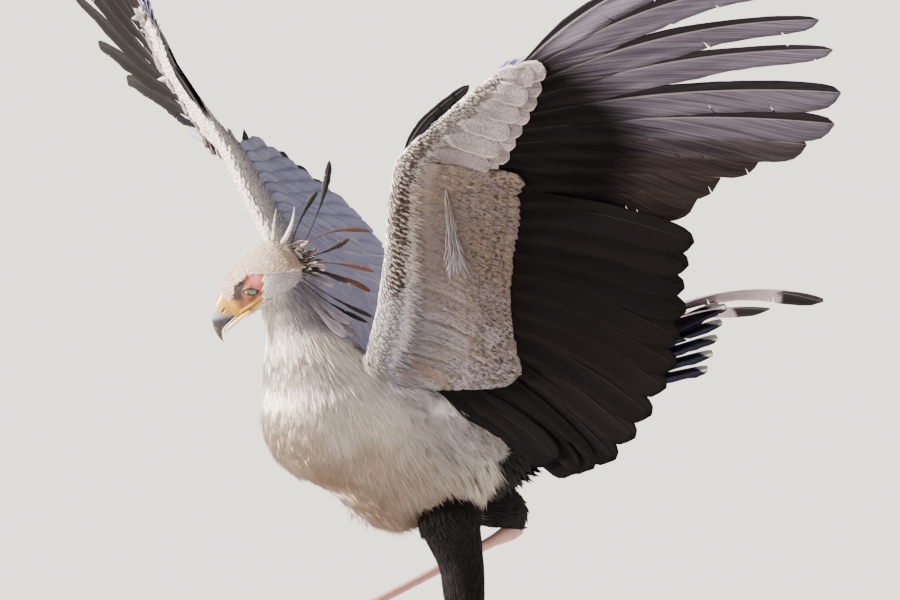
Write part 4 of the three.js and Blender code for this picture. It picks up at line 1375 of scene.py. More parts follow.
# Outlines of the vanes: share of the length, share of the width
ROUND_TIP = [[0, 0.1], [0.12, 0.3], [0.32, 1], [0.88, 1],
             [0.93, 0.93], [0.965, 0.77], [0.985, 0.55], [1, 0.12]]
FINGER_TIP = [[0, 0.1], [0.12, 0.34], [0.3, 1], [0.58, 0.97], [0.72, 0.76],
              [0.88, 0.66], [0.96, 0.5], [0.99, 0.3], [1, 0.1]]
SHORT_TIP = [[0, 0.3], [0.3, 0.95], [0.7, 1], [0.88, 0.85], [0.96, 0.55], [1, 0.12]]
SPIKE_TIP = [[0, 0.9], [0.25, 1], [0.6, 0.62], [1, 0.06]]
SPOON_TIP = [[0, 0.12], [0.5, 0.12], [0.66, 0.5], [0.82, 1], [0.92, 0.86], [0.98, 0.5], [1, 0.1]]
print("each ring of a large feather has", 2 * len(SIDES), "points")

# %% [markdown]
# Flight feathers are black, and the long outer ones gleam purplish grey below, partly their own
# grey and partly a painted sheen with streaks of painted highlight; only the near hand has it, and
# the far hand is left near black as painted shade. Coverts are lilac grey above and cream with
# brown freckles below, painted much darker under the arm as shade, with painted shade at each
# covert's root. Patterns follow the vane and are shifted from feather to feather.

# %% Quill paints
FEATHERS_APART = 60


def on_vane(paint, x, y):
    return paint.node("ShaderNodeCombineXYZ", None, {0: x, 1: y, 2: paint.read("tint") * FEATHERS_APART})


def freckles(paint, across, along, wide, long, low, high):
    """Small dashes strewn over a vane."""
    return paint.clamp(paint.noise(1.0, 1, on_vane(paint, across * wide, along * long)), low, high)


def flight_paint():
    paint = Paint("flight_feathers")
    lines, off, along = barbs(paint, 90, 0.35)
    across, _ = paint.vane()
    out, tint, lower = paint.read("out"), paint.read("tint"), paint.read("lower")
    smear = paint.noise(1.0, 4, on_vane(paint, (along - off * 0.5) * 38, across * 1.6))
    # velvet: the feathers' own black, made darker still as painted shade.
    velvet = paint.mix(tint, (0.0022, 0.0016, 0.0017), (0.0052, 0.0036, 0.0036))
    # gloss and its smeared streaks are partly the primaries' own purplish grey and partly painted sheen and
    # highlight.
    gloss = paint.mix(paint.clamp(smear, 0.3, 0.7), (0.085, 0.07, 0.1), (0.2, 0.17, 0.22))
    rust = paint.mix(paint.clamp(smear, 0.3, 0.7), (0.024, 0.0155, 0.015), (0.056, 0.038, 0.037))
    sheen_and_rust = paint.mix(paint.clamp(out, 0.5, 0.25), gloss, rust)
    # lit is painted light: the near hand takes the sheen, the far wing is left dark as painted shade.
    end = paint.clamp(along + out * 0.5 + (smear - 0.5) * 0.08, 0.58, 0.78) * paint.read("lit")
    trail = paint.mix(end * paint.clamp(off, 0.5, 0.02) * 0.35 + end * 0.65, velvet, sheen_and_rust)
    # The leading vane stays near black, partly its own colour and partly painted shadow of the next feather.
    lead = paint.mix(end * 0.12, velvet, sheen_and_rust)
    vane = paint.mix(paint.clamp(across, 0.47, 0.53), trail, lead)
    brown = paint.mix(along, (0.01, 0.0065, 0.006), (0.028, 0.016, 0.014))
    primary = paint.clamp(out, -0.3, -0.1)
    vane = paint.mix(lower, paint.mix(primary, velvet, brown), vane)
    vane = shaded(paint, vane, 0.92 + (tint - 0.5) * 0.2 + lines * 0.05)
    rod = paint.clamp(off, 0.035, 0.015)
    vane = paint.mix(rod * (primary * end * 0.5 + 0.02), vane, (0.42, 0.37, 0.38))
    return paint.finish(vane, 0.62, bump=lines * 0.6 + rod, strength=0.3, distance=0.0005,
                        Specular_IOR_Level=0.07)


def covert_paint():
    paint = Paint("wing_coverts")
    lines, off, along = barbs(paint, 60, 0.5)
    across, _ = paint.vane()
    below, hand, tint = paint.read("below"), paint.read("hand_part"), paint.read("tint")
    dots, pale = paint.read("dots"), paint.read("pale")
    patch = paint.noise(14, 3)
    above = paint.mix(paint.clamp(patch, 0.35, 0.65), (0.34, 0.335, 0.52), (0.41, 0.38, 0.52))
    above = paint.mix(paint.clamp(off, 0.36, 0.5) * 0.12, above, (0.5, 0.48, 0.56))
    ochre = paint.clamp(patch + (tint - 0.5) * 0.2, 0.4, 0.75)
    # The arm's lining coverts: their own cream, ochre and freckles, painted far darker as shade.
    arm_lining_in_shade = paint.mix(ochre, (0.13, 0.099, 0.095), (0.145, 0.104, 0.069))
    arm_lining_in_shade = paint.mix(pale, arm_lining_in_shade, (0.34, 0.315, 0.37))
    spots = freckles(paint, across, along, 5.5, 15, 0.53, 0.57) * paint.clamp(along, 0.15, 0.4)
    arm_lining_in_shade = paint.mix(spots * dots * 0.95, arm_lining_in_shade, (0.03, 0.018, 0.016))
    # Painted shade at each covert's root, where the row in front overlaps it, lighter toward the tip.
    arm_lining_in_shade = shaded(paint, arm_lining_in_shade, paint.clamp(along, 0.25, 0.85) * 0.25 + 0.78)
    tip = paint.mix(paint.clamp(tint, 0.3, 0.8), (0.27, 0.22, 0.225), (0.38, 0.315, 0.315))
    tip = paint.mix(freckles(paint, across, along, 16, 44, 0.5, 0.62) * 0.85, tip, (0.11, 0.075, 0.07))
    # Painted shade at the root of each hand covert, lighter toward the tip.
    tip = shaded(paint, tip, paint.clamp(along, 0.2, 0.8) * 0.4 + 0.62)
    tip = paint.mix(paint.clamp(off, 0.38, 0.44) * 0.6, tip, (0.62, 0.54, 0.5))
    vane = paint.mix(below, above, paint.mix(hand, arm_lining_in_shade, tip))
    vane = shaded(paint, vane, 0.93 + (tint - 0.5) * 0.16 + lines * 0.02)
    rod = paint.clamp(off, 0.05, 0.02)
    return paint.finish(vane, 0.65, bump=lines * 0.6 + rod, strength=0.3, distance=0.0005,
                        Sheen_Weight=0.05, Specular_IOR_Level=0.15)


def quill_paint(name, vane_colour, tip, root, pale_shaft=0.1, gloss=0.65, ends=0.9):
    paint = Paint(name)
    lines, off, along = barbs(paint, 90, 0.35)
    vane = paint.mix(paint.clamp(along, 0.4, 0.1), vane_colour, root)
    edge = along + (paint.noise(40, 3) - 0.5) * 0.08
    vane = paint.mix(paint.clamp(edge, ends, ends + 0.03), vane, tip)
    cloudy = (paint.read("tint") - 0.5) * 0.2 + (paint.noise(60, 3) - 0.5) * 0.3
    vane = shaded(paint, vane, 0.9 + cloudy + lines * 0.05)
    rod = paint.clamp(off, 0.035, 0.015)
    vane = paint.mix(rod * pale_shaft, vane, (0.55, 0.5, 0.46))
    return paint.finish(vane, gloss, bump=lines * 0.6 + rod, strength=0.35, distance=0.0005,
                        Specular_IOR_Level=0.09)


flight_material = flight_paint()
covert_material = covert_paint()
NIGHT = (0.006, 0.005, 0.0068)
black_material = quill_paint("black_feathers", NIGHT, NIGHT, NIGHT)
print("nodes in the coverts' paint:", len(covert_material.node_tree.nodes))

# %% [markdown]
# Black inner flight feathers hang from the forearm, and ten long ones fan out from the hand. Each
# runs from the flesh's rear edge to the wing's outline, so two edges and a count set them all.

# %% Flight feathers
PRIMARIES = 10
FIRST_FINGERED = 6
HAND_START = 0.01
SECONDARIES = {"left": 13, "right": 20}


def wing_path(wing, station, root, tip, sink, bow, droop, high):
    """A feather's path, from a little inside the flesh to its tip. high is the height at either end."""
    root, tip = np.array(root), np.array(tip)
    way = tip - root
    size = np.linalg.norm(way)

    def path(s):
        t = s * (1 + sink / size) - sink / size
        bend = 4 * bow * t * (1 - t) / size
        a = root[0] + way[0] * t - way[1] * bend
        b = root[1] + way[1] * t + way[0] * bend
        lifted = high[0] + (high[1] - high[0]) * rise(s, 0, 0.4) - droop * t * t
        return wing.place(station, a, b, lifted)

    return path


def add_primaries(quills, wing):
    near = wing is LEFT
    for i in range(PRIMARIES):
        out = i / (PRIMARIES - 1)
        station = WRIST + HAND_START + (LAST_PRIMARY - WRIST - HAND_START) * out
        root, tip = wing.flight(station)
        root = root if near else root + np.array([0, 0.026 * (1 - out)])
        bow = 0.012 + 0.024 * out * out if near else 0.018
        path = wing_path(wing, station, root, tip, 0.013, bow, -0.016, (0, 0))
        fingered = i >= FIRST_FINGERED
        slim = 1.0 + 0.35 * rise(out, 0.25, 0) if near else 0.58
        # lit is painted light: 1 paints the near hand's sheen, 0 leaves the far hand dark as painted shade.
        quills.add(path, wing.back(station), slim * (0.0105 if fingered else 0.0125), slim * 0.026,
                   FINGER_TIP if fingered or not near else ROUND_TIP,
                   hand=wing.side, tilt=0.15, rows=30, splits=2, shaft=0.0016, camber=0.3, rough=0.015,
                   deep=(0.6, 0.85), out=out, lit=1.0 if near else 0)


def add_secondaries(quills, wing):
    count = SECONDARIES[wing.name]
    for i, station in enumerate(wing.evenly(WRIST, 0, (np.arange(count) + 0.8) / count)):
        root, _ = wing.flight(station)
        tip = wing.edge(wing.trailing, (i + 0.15) / (count - 0.35))
        tip = tip + np.array([draw.uniform(-0.006, 0.004), draw.uniform(-0.002, 0.002)])
        path = wing_path(wing, station, root, tip, 0.013, 0.01, 0.024, (0, 0))
        quills.add(path, wing.back(station), 0.016, 0.027, ROUND_TIP, hand=wing.side, tilt=0.17, rows=24,
                   shaft=0.0014, camber=0.25, rough=0.02, out=-1, lit=0)


def flight_feathers(wing):
    quills = Quills("flight_" + wing.name)
    add_primaries(quills, wing)
    add_secondaries(quills, wing)
    quills.build(flight_material)


# %% [markdown]
# Coverts bridge the roots in rows on both faces, one over the next like tiles. Underneath they
# lie higher toward their ends, or the flight feathers would poke through.

# %% Coverts
# face, share of the flesh, first and last station, how many, reach past the flesh, half width,
# height at the end
ARM, INNER, HAND = (0.02, 0.5), (0.0, 0.5), (0.5, 0.96)
COVERT_ROWS = [
    (1, 0.84, ARM, 22, 0.2, 0.019, 0.008),
    (1, 0.74, ARM, 22, 0.13, 0.018, 0.0105),
    (1, 0.62, ARM, 22, 0.075, 0.016, 0.0125),
    (1, 0.5, ARM, 22, 0.038, 0.014, 0.014),
    (1, 0.4, ARM, 22, 0.016, 0.012, 0.015),
    (1, 0.84, HAND, 12, 0.105, 0.014, 0.006),
    (1, 0.62, HAND, 12, 0.055, 0.013, 0.0085),
    (1, 0.45, HAND, 12, 0.018, 0.011, 0.01),
    (-1, 0.86, INNER, 40, 0.064, 0.012, 0.0132),
    (-1, 0.78, INNER, 40, 0.053, 0.0115, 0.0142),
    (-1, 0.69, INNER, 36, 0.04, 0.0105, 0.015),
    (-1, 0.61, INNER, 34, 0.028, 0.01, 0.0156),
    (-1, 0.53, INNER, 32, 0.017, 0.0095, 0.016),
    (-1, 0.45, INNER, 30, 0.007, 0.009, 0.0163),
    (-1, 0.8, HAND, 8, 0.062, 0.015, 0.008),
    (-1, 0.4, HAND, 6, 0.044, 0.015, 0.0125),
]


def covert_stretch(wing, lining, hand, station, inner):
    if hand:
        stretch = 1 - 0.3 * float(rise(station, 0.56, 0.48)) * lining
        return stretch * (0.12 if lining and wing is RIGHT else 1)
    if lining:
        stretch = 1 + 0.5 * float(rise(station, 0.2, 0.44)) + 0.25 * inner
        return stretch * (1 if wing is LEFT else 1 - 0.8 * float(rise(station, 0.3, 0.42)))
    return 1 if wing is LEFT else 1.14 - 0.4 * float(rise(station, 0.28, 0.45))


def add_covert_row(quills, wing, face, share, span, count, reach, half, high):
    hand, lining, near = span is HAND, face < 0, wing is LEFT
    loose = lining and not hand and share <= 0.75
    soft = 0.12 if loose else 0.05
    for station in wing.evenly(*span, (np.arange(count) + 0.5) / count):
        root, tip = wing.flight(station)
        front = wing.edge(wing.lead, station)
        start = front + (root - front) * share
        inner = float(rise(station, 0.25, 0.04)) * lining
        way = unit(tip - root + (0, 0.09 * inner))
        stretch = covert_stretch(wing, lining, hand, station, inner)
        length = reach * (1 + draw.uniform(-0.02, 0.02)) * (1 - 0.2 * station) * stretch
        low = float(flesh_half(station, share)) - 0.0016
        top = high * (0.6 if lining and not near else 1)
        rest = draw.uniform(-1, 1) * soft * 0.008
        path = wing_path(wing, station, start, root + way * length, 0.003, 0.003 + rest, 0,
                         (face * low, face * top))
        quills.add(path, wing.back(station) * face, half, half, SHORT_TIP, hand=wing.side * face,
                   tilt=face * 0.1 + draw.uniform(-1, 1) * soft, rows=10, shaft=0.0006,
                   camber=0.35 if lining and near else 0.12, splits=1 if loose else 0, rough=0.03,
                   below=float(lining), hand_part=float(hand),
                   dots=(0.55 + 0.45 * float(rise(share, 0.45, 0.7))) * draw.uniform(0.6, 1),
                   pale=0.5 * draw.random() * float(rise(station, 0.3, 0.1)))


# White silky feathers that hang over the middle of the forearm's underside
SILK_COUNT = 210
SILK_STATION = 0.3
SILK_START, SILK_END = pairs(77, 212)[0], pairs(92, 104)[0]


def add_silk(quills, wing):
    for _ in range(SILK_COUNT if wing is LEFT else SILK_COUNT // 3):
        share = draw.uniform(0, 0.74)
        way = SILK_END - SILK_START
        beside = unit([way[1], -way[0]])
        off = draw.uniform(-1, 1)
        start = SILK_START + way * share + beside * off * (0.001 + 0.006 * share)
        spread = off * (0.001 + 0.012 * share) + draw.uniform(-1, 1) * (0.001 + 0.012 * share * share)
        end = start + way * draw.uniform(0.16, 0.3) + beside * spread
        path = wing_path(wing, SILK_STATION, start, end, 0.003, draw.uniform(-0.002, 0.002), 0,
                         (-0.0165, draw.uniform(-0.021, -0.0175)))
        quills.add(path, -wing.back(SILK_STATION), 0.0007, 0.0007, SHORT_TIP, hand=-wing.side,
                   tilt=draw.uniform(-0.3, 0.3), rows=5, shaft=0.0004, camber=0.3, rough=0.08,
                   below=1, hand_part=0, dots=0.1, pale=(0.1 + 0.6 * share) * draw.uniform(0.6, 1.2))


def covert_feathers(wing):
    quills = Quills("coverts_" + wing.name)
    for row in COVERT_ROWS:
        add_covert_row(quills, wing, *row)
    add_silk(quills, wing)
    quills.build(covert_material)


# %% [markdown]
# Three small black feathers of the thumb lie along the wrist. Then both wings are feathered.

# %% Thumb feathers, and both wings
THUMB_STATION = WRIST + 0.04
# length, half width, distance in front of the hand, height
ALULA = [(0.112, 0.01, 0.005, 0.005), (0.092, 0.01, 0.008, 0.002), (0.07, 0.009, 0.01, -0.001)]


def thumb_feathers(wing):
    quills = Quills("thumb_" + wing.name)
    start, end = wing.edge(wing.lead, THUMB_STATION), wing.edge(wing.lead, THUMB_STATION + 0.34)
    way = (end - start) / np.linalg.norm(end - start)
    forward = np.array([-way[1], way[0]])
    for length, half, off, high in ALULA:
        root, tip = start - forward * 0.006, start + way * length + forward * off
        path = wing_path(wing, THUMB_STATION, root, tip, 0.006, 0.006, 0, (high * 0.6, high))
        quills.add(path, wing.back(THUMB_STATION), half * 0.6, half, SHORT_TIP, hand=wing.side,
                   tilt=0.2, rows=16, splits=1)
    quills.build(black_material)


for wing in (LEFT, RIGHT):
    flight_feathers(wing)
    covert_feathers(wing)
    thumb_feathers(wing)

# %% [markdown]
# The tail: a long middle pair that streams out behind, and five shorter black ones on each side
# with white ends. All spring from one root, and each tip is set.

# %% Tail
TAIL_ROOT = np.array([0, 0.132, 0.578])
TAIL_MIDDLE = [[-0.007, 0.555, 0.676, 0.054], [0.009, 0.461, 0.671, 0.034]]
TAIL_INNER = np.array([0.015, 0.388, 0.682, 0.008])
TAIL_OUTER = np.array([0.06, 0.33, 0.61, 0.002])


def add_tail_feather(quills, tip, drop, half, **settings):
    tip = np.array(tip)
    root = TAIL_ROOT + (tip[0] * 0.2, 0, 0.008 - drop)
    way = tip[:3] - root

    def path(s):
        s = np.asarray(s)[:, None]
        return root + way * s + np.array([0, 0, 4 * tip[3]]) * s * (1 - s)

    slope = math.radians(tip[0] * 160)
    up = np.array([math.sin(slope), 0, math.cos(slope)])
    quills.add(path, up, half, half, ROUND_TIP, rows=24, shaft=0.0016, **settings)


tail_grey = quill_paint("tail_grey", (0.48, 0.375, 0.42), NIGHT, (0.2, 0.175, 0.21), 0.3, ends=0.82)
quills = Quills("tail_middle")
for i, tip in enumerate(TAIL_MIDDLE):
    add_tail_feather(quills, tip, i * 0.0023, 0.019, splits=3, camber=0.3, tilt=0.42)
quills.build(tail_grey)
tail_black = quill_paint("tail_black", (0.013, 0.012, 0.022), (0.78, 0.74, 0.68), NIGHT, 0.15)
quills = Quills("tail_sides")
for i in range(5):
    for side in (1, -1):
        tip = TAIL_INNER + (TAIL_OUTER - TAIL_INNER) * i / 4
        tip = tip * (side, 1, 1, 1) + (0, 0.01 if side < 0 else 0, 0, 0)
        add_tail_feather(quills, tip, 0.0046 + i * 0.0026, 0.021, splits=1, camber=0.25)
quills.build(tail_black)

# %% [markdown]
# The head is turned to the bird's right and looks down. With directions of its own, its rows can
# be given in millimetres as on a head held straight.

# %% Head's own directions
HEAD_CENTRE = np.array([0, -0.294, 0.743])
HEAD_TURN, HEAD_DROOP = math.radians(31), math.radians(38)
HEAD_SIDE = np.array([math.cos(HEAD_TURN), -math.sin(HEAD_TURN), 0])
HEAD_FORE = np.array([
    -math.sin(HEAD_TURN) * math.cos(HEAD_DROOP),
    -math.cos(HEAD_TURN) * math.cos(HEAD_DROOP),
    -math.sin(HEAD_DROOP),
])
HEAD_UP = -np.cross(HEAD_SIDE, HEAD_FORE)


def on_head(fore, up, side=0.0):
    """A point from millimetres forward, up and to the left of the head."""
    fore, up, side = (np.asarray(v, float)[..., None] / 1000 for v in (fore, up, side))
    return HEAD_CENTRE + HEAD_FORE * fore + HEAD_UP * up + HEAD_SIDE * side


def head_rings(rows, n=48, square=1.0, steps=5, inset=0.0):
    """Rings through fore and up of their tops, then of their bottoms, and half their width."""
    made = []
    for ft, ut, fb, ub, half in refine(rows, steps):
        top, bottom = on_head(ft, ut), on_head(fb, ub)
        squeeze = unit(bottom - top) * min(inset, 0.3 * np.linalg.norm(bottom - top))
        side = HEAD_SIDE * max(half / 1000 - inset, 0.0002)
        made.append(ring(top + squeeze, bottom - squeeze, side, n, square))
    return np.array(made)


print("the head looks", round(math.degrees(HEAD_DROOP)), "degrees down")

# %% [markdown]
# A smooth skull, brows, thick lids and lips are lofts and tubes that overlap, and a fine remesh
# melts them into one skin. The lids' folds follow the eye's opening at growing distances.

# %% Skull and lids
SKULL = [
    [-47, 2, -46, -18, 8], [-43, 14, -41, -28, 17], [-33, 26, -31, -34, 23], [-20, 31, -18, -35, 26],
    [-5, 32, -3, -34, 27], [10, 31, 11, -31, 25.5], [22, 29, 23, -29, 22.5], [34, 26.5, 34, -27.5, 18],
    [45, 21.5, 44, -26.8, 13.5], [53, 16, 52, -26.4, 10.8], [57, 13, 56, -26, 9.8],
]
BROW = [[42, 13, 8, 1.6], [34, 14.5, 13, 2.8], [24, 13, 17.6, 3.6], [12, 10.5, 20.6, 3.4], [0, 4, 23, 1.8]]
HEAD_DEPTH = 0.0008
# The eye: millimetres forward, up and to the side of the head's centre, and its radius
EYE_FORE, EYE_UP, EYE_OUT, EYE_RADIUS = 23, -5.5, 11.6, 0.0108
LID_THICKNESS = 0.0017
SLIT_TURN, SLIT_HALF, SLIT_ABOVE, SLIT_BELOW = math.radians(38), 10.0, 3.9, 4.6
# A fold's first and last angle, its distance from the opening, its thickness
LID_FOLDS = [(8, 176, 2.6, 1.5), (8, 176, 4.8, 1.0), (190, 350, 2.0, 1.1), (190, 350, 4.0, 0.7)]
# A lip's height at the corner and in front, its thickness
LIPS = [(-19.6, -18.4, 1.2), (-24.3, -23.8, 1.3)]


def cheek(fore, up):
    table = np.array(SKULL, float)
    at = [np.interp(fore, table[:, 0], table[:, k]) for k in (1, 3, 4)]
    level = np.clip((up - (at[0] + at[1]) / 2) / ((at[0] - at[1]) / 2), -0.98, 0.98)
    return at[2] * (1 - np.abs(level) ** 2.1) ** 0.47


def slit(angle, side, reach, grown=0.0):
    """Points round the opening of the lids. Without a reach they lie just off the eyeball."""
    f = (SLIT_HALF + grown) * np.cos(angle)
    u = np.sin(angle) * (np.where(np.sin(angle) > 0, SLIT_ABOVE, SLIT_BELOW) + grown)
    fore = EYE_FORE + f * math.cos(SLIT_TURN) - u * math.sin(SLIT_TURN)
    up = EYE_UP + f * math.sin(SLIT_TURN) + u * math.cos(SLIT_TURN)
    if reach is None:
        flat = (fore - EYE_FORE) ** 2 + (up - EYE_UP) ** 2
        reach = EYE_OUT + np.sqrt(np.maximum((EYE_RADIUS * 1000 + 1.3) ** 2 - flat, 4))
    return on_head(fore, up, side * reach)


def eye_ball(extra, side, segments, rings):
    return ball(EYE_RADIUS + extra, on_head(EYE_FORE, EYE_UP, side * EYE_OUT), segments, rings)


def tube(name, points, radii, n=12):
    radii = np.broadcast_to(np.asarray(radii, float) / 1000, len(points))
    return loft(name, limb_rings(np.hstack([points, radii[:, None]]), n, HEAD_SIDE))


def taper(count, radius, ends=0.35):
    return radius * (ends + (1 - ends) * np.sin(np.linspace(0, math.pi, count)))


head_parts = [loft("skull", head_rings(SKULL, 64, 0.94, inset=HEAD_DEPTH))]
for side in (1, -1):
    rows = [[*on_head(f, u, side * out), r / 1000] for f, u, out, r in BROW]
    head_parts.append(loft("brow", limb_rings(refine(rows, 5), 16, HEAD_UP)))
    head_parts.append(eye_ball(LID_THICKNESS, side, 48, 32))
    for first, last, grown, thick in LID_FOLDS:
        fold = np.radians(np.linspace(first, last, 24))
        head_parts.append(tube("lid_fold", slit(fold, side, None, grown), taper(24, thick)))
    for start_up, end_up, radius in LIPS:
        fores, ups = np.linspace(15, 49, 16), np.linspace(start_up - 0.6, end_up, 16)
        points = on_head(fores, ups, side * (cheek(fores, ups) - 0.4))
        head_parts.append(tube("lip", points, taper(16, radius, 0.6)))
head_skin = melt(join("head_skin", *head_parts), 0.0007, 3)
print("the head was melted from", len(head_parts), "pieces")

# %% [markdown]
# The crown's feathers overhang the bare face a little, and fine folds ring the eye: both push
# the skin along its normals. Each eye's opening is cut by the slit's shape and by a larger ball.

# %% Crown's edge, folds and openings


def crown_height(fore, up):
    """How far a point lies above the lower border of the feathered crown, in millimetres."""
    behind = -0.577 * (fore + 2) + 0.817 * (up - 3)
    before = 0.353 * (fore - 14) + 0.935 * (up - 14.3) - 4.6 * np.exp(-(((fore - 34) / 9) ** 2))
    return np.maximum(behind, before)


def face_depth(fore, up):
    """How far a point lies in front of the rear border of the bare face, in millimetres."""
    return 0.787 * (fore + 0.7) + 0.617 * (up - 0.8)


def head_measures(mesh):
    spots = vertex_array(mesh) - HEAD_CENTRE
    return spots @ HEAD_FORE * 1000, spots @ HEAD_UP * 1000, spots @ HEAD_SIDE * 1000


fore, up, _ = head_measures(head_skin.data)
normals = vertex_array(head_skin.data, "normal")
overhang = 1.3 * rise(crown_height(fore, up), -0.7, 0.9) * rise(fore, 46, 30) * rise(fore, -44, -30)
from_eye = np.hypot(fore - EYE_FORE, up - EYE_UP)
folds = 0.16 * np.sin(from_eye * 2.4) * rise(from_eye, 12, 13) * rise(from_eye, 21, 17)
folds = folds * rise(face_depth(fore, up), 0, 3) * (1 - rise(crown_height(fore, up), -2, 0))
folds = folds * rise(up, -19, -16)
moved = vertex_array(head_skin.data) + normals * ((overhang + folds) / 1000)[:, None]
head_skin.data.vertices.foreach_set("co", moved.ravel())
angles = np.linspace(0, 2 * math.pi, 64, endpoint=False)
for side in (1, -1):
    cut_away(head_skin, loft("opening", [slit(angles, side, reach + 0 * angles) for reach in (14.0, 40.0)]))
    cut_away(head_skin, eye_ball(0.0004, side, 64, 40))
head_skin.data.shade_smooth()
print("the head has", len(head_skin.data.polygons), "faces")

# %% [markdown]
# Eyes are glassy balls with an olive iris, a round pupil and a dark rim, painted by the distance
# from the line of sight. A dark margin follows the lids' edge.

# %% Eyes and lids' edge


def eye_paint(side):
    paint = Paint("eye_" + side)
    look = paint.read("look")
    iris = paint.mix(paint.clamp(paint.noise(900, 3), 0.3, 0.7), (0.1, 0.075, 0.022), (0.22, 0.18, 0.06))
    ball = paint.mix(paint.clamp(look, 0.0052, 0.0057), iris, (0.17, 0.18, 0.22))
    rim = paint.clamp(look, 0.0044, 0.0051) * paint.clamp(look, 0.006, 0.0053)
    ball = paint.mix(rim * 0.85, ball, (0.04, 0.03, 0.02))
    ball = paint.mix(paint.clamp(look, 0.0025, 0.0022), ball, (0.004, 0.004, 0.005))
    return paint.finish(ball, 0.08, Coat_Weight=1.0, Coat_Roughness=0.02, Specular_IOR_Level=0.6)


lid_material = Paint("lid_margin").finish((0.03, 0.018, 0.014), 0.4)
for name, side in (("left", 1), ("right", -1)):
    eye = eye_ball(0, side, 64, 48)
    eye.name = "eyeball_" + name
    gaze = unit(HEAD_SIDE * side * 0.93 + HEAD_FORE * 0.3 - HEAD_UP * 0.02)
    spots = vertex_array(eye.data) - on_head(EYE_FORE, EYE_UP, side * EYE_OUT)
    off = np.linalg.norm(np.cross(spots, gaze), axis=1) + np.where(spots @ gaze < 0, 0.02, 0)
    put(eye.data, "look", off)
    eye.data.materials.append(eye_paint(name))
    eye.data.shade_smooth()
    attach(eye, "root")
    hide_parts("eye_" + name)
    rim = slit(np.append(angles, 2 * math.pi), side, None, 0.1)
    margin = tube("lid_" + name, rim, 0.45 + 0.35 * rise(np.sin(np.append(angles, 0)), -0.4, 0.6), 8)
    margin.data.materials.append(lid_material)
    margin.data.shade_smooth()
    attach(margin, "root")
    print("the", name, "eye is", round(EYE_RADIUS * 2000, 1), "mm wide")

# %% [markdown]
# A short hooked bill, yellow where it leaves the face, with a slit for a nostril, then horn grey
# with a brown point. Its colours follow how far forward and up a point lies.

# %% Bill
BILL_UPPER = [
    [50, 17, 50, -19.4, 10.2], [61, 11, 61, -19.8, 8.8], [69.5, 6, 69, -20.4, 7.4],
    [76.5, 0.5, 74.5, -21.2, 6], [82, -6.5, 78.3, -22.4, 4.7], [85.6, -14.5, 80.8, -24.6, 3.4],
    [87.3, -22.5, 83, -28, 2.3], [87.6, -29.5, 85.2, -31.6, 1.2], [87, -35.2, 86.6, -35.4, 0.35],
]
BILL_LOWER = [
    [38, -20.6, 38, -27.2, 11.4], [52, -20.8, 52, -27.6, 9.4], [64, -21.2, 63.5, -27.6, 7.4],
    [72, -22.4, 71, -28.2, 5.4], [76.6, -24.2, 76, -28.4, 3.2], [78.6, -26, 78.4, -28, 1],
]


def bill_paint():
    paint = Paint("bill_horn")
    ahead, above, streaks = paint.read("ahead"), paint.read("above"), paint.noise(300, 4)
    uneven = (paint.noise(160, 2) - 0.5) * 6
    cere = paint.clamp(ahead + uneven, 74, 60) * paint.clamp(above + uneven * 0.6 - ahead * 0.25, -36, -22)
    horn = paint.mix(cere, (0.25, 0.235, 0.27), (0.53, 0.245, 0.014))
    low = above * -1 + ahead * 0.55 + uneven * 0.5
    horn = paint.mix(paint.clamp(low, 45, 53), horn, (0.013, 0.014, 0.023))
    horn = paint.mix(paint.clamp(low, 55, 64), horn, (0.05, 0.022, 0.016))
    horn = paint.mix(paint.clamp(streaks, 0.5, 0.75) * 0.18, horn, (0.4, 0.36, 0.3))
    return paint.finish(horn, 0.32, bump=streaks, strength=0.12, distance=0.0005, Coat_Weight=0.15)


def lower_bill_paint():
    paint = Paint("lower_bill_horn")
    tone = paint.mix(paint.clamp(paint.read("ahead"), 52, 66), (0.74, 0.48, 0.15), (0.62, 0.44, 0.38))
    tone = paint.mix(paint.clamp(paint.read("above"), -22.6, -21.4) * 0.7, tone, (0.1, 0.05, 0.04))
    return paint.finish(tone, 0.35, Coat_Weight=0.15)


bill_upper = loft("bill_upper_horn", head_rings(BILL_UPPER, 56, 1.0, 8))
turn = np.linspace(0, 2 * math.pi, 16, endpoint=False)
nostril = [63.4 + 3.9 * np.cos(turn) + 0.4 * np.sin(turn), -4.2 - 1.5 * np.cos(turn) + 1.0 * np.sin(turn)]
for side in (1, -1):
    cut_away(bill_upper, loft("nostril", [on_head(*nostril, side * reach + 0 * turn) for reach in (4.6, 20)]))
bill_lower = loft("bill_lower_horn", head_rings(BILL_LOWER, 40, 1.0, 6))
for bill, name, material in ((bill_upper, "upper", bill_paint()), (bill_lower, "lower", lower_bill_paint())):
    along, high, _ = head_measures(bill.data)
    put(bill.data, "ahead", along)
    put(bill.data, "above", high)
    bill.data.materials.append(material)
    bill.data.shade_smooth()
    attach(bill, "root")
    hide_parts("bill_" + name)
    print("the bill's", name, "half has", len(bill.data.polygons), "faces")

# %% [markdown]
# Round the eye the skin is bare and orange red; the rest is covered with tiny feathers, cream on
# the crown and grey behind the ear. Each patch is a spot or band of its own, easy to move.

# %% Marks on the head
fore, up, across = head_measures(head_skin.data)
normals = vertex_array(head_skin.data, "normal")
crown = rise(crown_height(fore, up), -0.8, 0.8)
ragged = 1.5 * np.sin(up * 0.8 + 1) + 1.0 * np.sin(up * 2.1 + fore) + 0.8 * np.sin(up * 4.3)
bare = rise(face_depth(fore, up) + ragged, -2, 2) * (1 - crown) * rise(up, -27, -24)
crown_way = -HEAD_FORE - 0.25 * HEAD_UP
ear_way = -0.75 * HEAD_FORE - 0.75 * HEAD_UP
flow = crown[:, None] * crown_way + (1 - crown[:, None]) * ear_way
flow = flow - normals * np.sum(flow * normals, axis=1)[:, None]
put(head_skin.data, "flow", unit(flow))
put(head_skin.data, "bare", bare)


def blob(centre_fore, centre_up, radius):
    """A soft round patch on the side of the head."""
    return np.exp(-((fore - centre_fore) ** 2 + (up - centre_up) ** 2) / radius**2)


